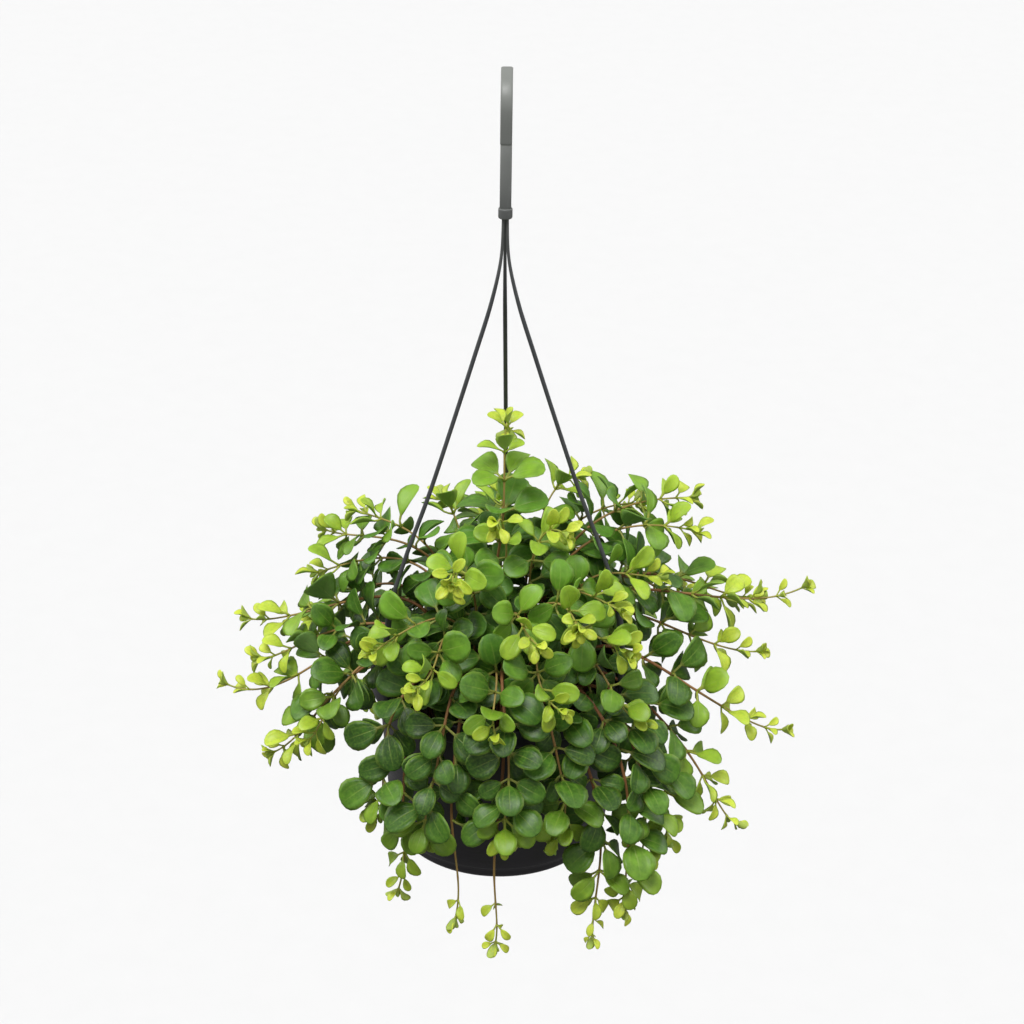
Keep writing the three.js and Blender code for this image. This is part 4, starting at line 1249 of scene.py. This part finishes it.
def stalk_rings(node, foot, blade, wide, scale, v):
    """The stalk's first two rings, on a quadratic curve from inside the stem that arrives at
    the foot along the blade."""
    reach = np.linalg.norm(foot - node, axis=-1, keepdims=True)
    bend = foot - blade * reach * 0.5
    rings = []
    for t, radius in zip((0.0, 0.5), STALK_RADII):
        middle = (1 - t) ** 2 * node + 2 * t * (1 - t) * bend + t * t * foot
        along = unit((1 - t) * (bend - node) + t * (foot - bend))
        side = unit(wide - along * (wide * along).sum(-1, keepdims=True))
        out = np.cross(along, side)
        size = (radius * scale)[..., None]
        ring = side * SECTION[None, None, :, None] + out * v[None, None, :, None]
        rings.append(middle + size * ring)
    return np.concatenate(rings, axis=1)


def leaf_faces():
    """Faces of one leaf: quads from ring to ring, triangles to its tip, and the stalk's end."""
    rings = RINGS + 2
    faces = ring_faces(rings, 8).tolist()
    tip = rings * 8
    faces += [[tip - 8 + j, tip - 8 + (j + 1) % 8, tip] for j in range(8)]
    faces.append(list(range(8))[::-1])
    return faces


def leaf_fields(leaves):
    """Points of every leaf, 81 each, and what the shader needs to know of each point: the
    place across and along the blade, the side, the age, which is cut by painted light, and the
    tone, which is partly painted light and shade."""
    rings, along = leaf_rings(leaves)
    count = len(leaves)
    keep = np.arange((RINGS + 2) * 8 + 1)
    points = rings.reshape(count, -1, 3)[:, keep]
    across = np.broadcast_to(SECTION, along.shape).copy()
    across[:, -1] = 0
    side = np.broadcast_to(0.5 + 0.5 * SIDE, along.shape)
    fields = {
        "across": across.reshape(count, -1)[:, keep],
        "along": along.reshape(count, -1)[:, keep],
        "side": side.reshape(count, -1)[:, keep],
    }
    for name in ("age", "tone_and_painted_light"):
        fields[name] = np.repeat([[leaf[name]] for leaf in leaves], len(keep), axis=1)
    return points, fields


def bud_leaves(stem):
    """Four small folded leaves at a stem's tip: two that spread and two upright ones."""
    node, along, _, first, second = frame_at(stem, 0)
    buds = []
    for i in range(4):
        turn = np.radians(30 + 90 * i + 20 * spread(stem["number"], 900, i))
        side = first * np.cos(turn) + second * np.sin(turn)
        blade = unit(along + side * (1.1 - 0.75 * (i % 2)))
        face = unit(along - blade * (along @ blade))
        own = 1 + BUD_SPREAD * spread(stem["number"], 901, i)
        size = (BUD_LENGTH - BUD_STEP * (i % 2)) * own
        foot = node + blade * BUD_FOOT
        bud = {"node": node - along, "foot": foot, "blade": blade, "face": face}
        bud.update(across=np.cross(face, blade), length=size, width=size * BUD_ASPECT, age=0.0)
        bud.update(stem=stem["number"], key=(stem["number"], 902, i))
        buds.append(bud)
    return buds


def paint_light_on_leaf(leaf):
    """How bright a leaf's green is, from 0 to 1: partly by lot and partly painted light, which
    grows with its height, so that leaves low in the mound carry painted shade. Leaves far from
    the axis or under the pot get most of the painted light, and stay as pale as young ones for
    longer, which is painted light as well."""
    x, y, z = leaf["foot"]
    high = smooth((z - RIM_Z + SHADE_DEPTH) / SUN_SPAN)
    outer = smooth((np.hypot(x, y) - SHADE_RADIUS) / SHADE_SPAN)
    below = smooth((RIM_Z - z - UNDER_POT) / UNDER_SPAN)
    open_air = float(max(outer, below))
    # Painted light and shade: the tone is paler high up, far out and under the pot, and darker low
    # in the mound; in the open the age is cut too, so those leaves stay pale.
    leaf["tone_and_painted_light"] = BY_LOT * draw(*leaf["key"], 30) + BY_PAINTED_LIGHT * float(min(1, high + open_air))
    leaf["age"] *= 1 - PALE_OUTSIDE * open_air


buds = [bud for stem in stems for bud in bud_leaves(stem)]
for leaf in leaves + buds:
    paint_light_on_leaf(leaf)
print("leaves with buds:", len(leaves) + len(buds), "faces each:", len(leaf_faces()))

# %% [markdown]
# The stems are round and juicy too, red brown where they are old and green at the tip, and
# a little swollen where a whorl stands. A curve with a bevel would do, but it can't swell at
# each whorl, so each stem is a swept tube of eight sides.

# %% Stem skins
STEM_SIDES = 8
ROOT_DEPTH = 8  # mm of stem in the soil
TIP_RADIUS, ROOT_GAIN = 0.52, 0.53
BARK_AGE = 150  # mm of stem until it is full grown
SWELLING, JOINT = 0.17, 2.2  # the share and the half length of the swelling at a whorl


def stem_skin(stem):
    """A tube along the stem, from under the soil to the tip, which is round. The radius goes
    from 1.05 mm to 0.52 mm and swells by a sixth at each whorl."""
    line = stem["line"]
    root = line[0] - [0, 0, ROOT_DEPTH]
    line = np.vstack([root, line])
    back = (len(line) - 1 - np.arange(len(line))) * STEP
    radius = TIP_RADIUS + ROOT_GAIN * smooth(back / BARK_AGE)
    joints = np.array(whorls_of(stem))[None]
    swollen = np.exp(-(((back[:, None] - joints) / JOINT) ** 2)).sum(1)
    radius = radius * (1 + SWELLING * swollen)
    radius[-1] *= 0.6
    along = unit(np.gradient(line, axis=0))
    side = unit(np.cross(along, [0.31, 0.17, 0.05]))
    over = np.cross(along, side)
    turn = 2 * np.pi * np.arange(STEM_SIDES)[:, None] / STEM_SIDES
    ring = side[:, None] * np.cos(turn) + over[:, None] * np.sin(turn)
    rings = line[:, None] + ring * radius[:, None, None]
    age = np.repeat(np.clip(back / BARK_AGE, 0, 1), STEM_SIDES)
    return closed_skin(rings), age


lengths = [len(stem["line"]) * STEP for stem in stems]
print("stems from", min(lengths), "to", max(lengths), "mm")

# %% [markdown]
# A peperomia leaf looks waxy because its skin is smooth over a clear, water-filled layer: a
# soft gloss with a little light from within. Young leaves are yellow green and old ones deep
# green, the nerves and the rim are paler, and the underside is pale and matt. Light and shade
# are painted into the green as well: leaves high up, far out or under the pot are paler, and
# those low in the mound darker. The age, the tone with its painted light and shade and the
# place on the blade were stored on the mesh, so the shader only mixes colours.


# %% Materials of the plant
def stored(tree, name):
    """A value that was stored on the points of the mesh."""
    return add_node(tree, "ShaderNodeAttribute", attribute_name=name).outputs["Fac"]


def line_at(tree, value, place, width):
    """1 where the value is at a place, easing to 0 at a width away."""
    gap = number(tree, "ABSOLUTE", number(tree, "SUBTRACT", value, place))
    return stretch(tree, gap, 0.0, width, 1.0, 0.0)


leaf_skin, tree, shader = new_material("waxy peperomia leaf", 0.42, 1.42)
age, tone_and_painted_light, side = (stored(tree, name) for name in ("age", "tone_and_painted_light", "side"))
across, along = stored(tree, "across"), stored(tree, "along")
blotch = noise(tree, 0.006, detail=3)
# Lit and shaded copies of each green by age: the stored tone picks between them, partly by lot and
# partly as painted light and shade.
darker_and_shaded_green = ramp(tree, age, [(0.0, "#a4b82c"), (0.3, "#759a26"), (0.65, "#40681b"), (1.0, "#2d4d15")])
paler_and_lit_green = ramp(tree, age, [(0.0, "#dae650"), (0.3, "#aed03c"), (0.65, "#78aa2e"), (1.0, "#588c26")])
upper = mix(tree, stretch(tree, number(tree, "ADD", tone_and_painted_light, blotch), 0.5, 1.6), darker_and_shaded_green, paler_and_lit_green)
speck = stretch(tree, noise(tree, 0.0016, detail=4), 0.4, 0.8, 0.0, 0.3)
upper = mix(tree, speck, upper, linear("#7aa53a"))
nerve = line_at(tree, across, 0.0, 0.07)
for place in (-0.5, 0.5):
    arc = number(tree, "MULTIPLY", line_at(tree, across, place, 0.1), 0.4)
    nerve = number(tree, "MAXIMUM", nerve, arc)
nerve = number(tree, "MULTIPLY", nerve, stretch(tree, along, 0.1, 1.0, 0.42, 0.06))
upper = mix(tree, nerve, upper, linear("#9fb552"))
rim = stretch(tree, number(tree, "ABSOLUTE", across), 0.75, 1.0, 0.0, 0.4)
upper = mix(tree, rim, upper, linear("#9fc04e"))
lower = mix(tree, 0.5, upper, linear("#86a862"))
skin = mix(tree, stretch(tree, side, 0.1, 0.6), lower, upper)
stalk_colour = ramp(tree, age, [(0.0, "#b2bf48"), (1.0, "#94994a")])
skin = mix(tree, stretch(tree, along, -0.05, 0.12, 1.0, 0.0), skin, stalk_colour)
tree.links.new(skin, shader.inputs["Base Color"])
tree.links.new(stretch(tree, side, 0.0, 1.0, 0.62, 0.4), shader.inputs["Roughness"])
hollow = number(tree, "SUBTRACT", 1.0, nerve)
normal = bump(tree, hollow, 0.0003)
pores = noise(tree, 0.0012, detail=3)
tree.links.new(bump(tree, pores, 0.00006, normal=normal), shader.inputs["Normal"])
shader.inputs["Subsurface Weight"].default_value = 0.12
shader.inputs["Subsurface Radius"].default_value = (0.4, 1.0, 0.15)
shader.inputs["Subsurface Scale"].default_value = 0.0012

stem_bark, tree, shader = new_material("juicy red brown stem", 0.5, 1.42)
barks = [(0.0, "#a5ae4c"), (0.2, "#a08d4a"), (0.6, "#95683f"), (1.0, "#7a4c30")]
bark = ramp(tree, stored(tree, "age"), barks)
dash = noise(tree, 0.0015, detail=3, stretch_by=(1, 1, 0.3))
bark = mix(tree, stretch(tree, dash, 0.45, 0.75, 0.0, 0.5), bark, linear("#a87a4c"))
tree.links.new(bark, shader.inputs["Base Color"])
tree.links.new(bump(tree, dash, 0.0001), shader.inputs["Normal"])
print("materials:", len(bpy.data.materials))

# %% [markdown]
# Each stem and its leaves become one mesh, with the two materials told apart face by face,
# and take the place of the matching solid.


# %% Leafy stems
def store(mesh, name, values):
    """Keeps one number for each point of the mesh."""
    layer = mesh.attributes.new(name, "FLOAT", "POINT")
    layer.data.foreach_set("value", np.ascontiguousarray(values, np.float32).ravel())


def grow_piece(stem, own):
    """The mesh of one stem and its own leaves as a piece in place of its solid."""
    tube, tube_age = stem_skin(stem)
    points, fields = leaf_fields(own)
    starts = [len(tube[0]) + points.shape[1] * i for i in range(len(own))]
    faces = tube[1] + [[k + start for k in face] for start in starts for face in leaf_faces()]
    node = "leafy_stem_%02d" % (stem["number"] + 1)
    skin = np.vstack([tube[0], points.reshape(-1, 3)]), faces
    piece = make_piece(node + "_fine", skin, [leaf_skin, stem_bark], node)
    for name in ("across", "along", "side", "age", "tone_and_painted_light"):
        first = tube_age if name == "age" else np.zeros(len(tube[0]))
        store(piece.data, name, np.concatenate([first, fields[name].ravel()]))
    index = np.zeros(len(faces), np.int32)
    index[: len(tube[1])] = 1
    piece.data.polygons.foreach_set("material_index", index)
    return piece


total = 0
for stem in stems:
    own = [leaf for leaf in leaves + buds if leaf["stem"] == stem["number"]]
    total += len(grow_piece(stem, own).data.polygons)
print("leafy stems:", len(stems), "faces:", total)

# %% [markdown]
# The last step prints the box of the solids.

# %% Size of the solids
print("solids:", np.round(CAD_BOX, 4).tolist())
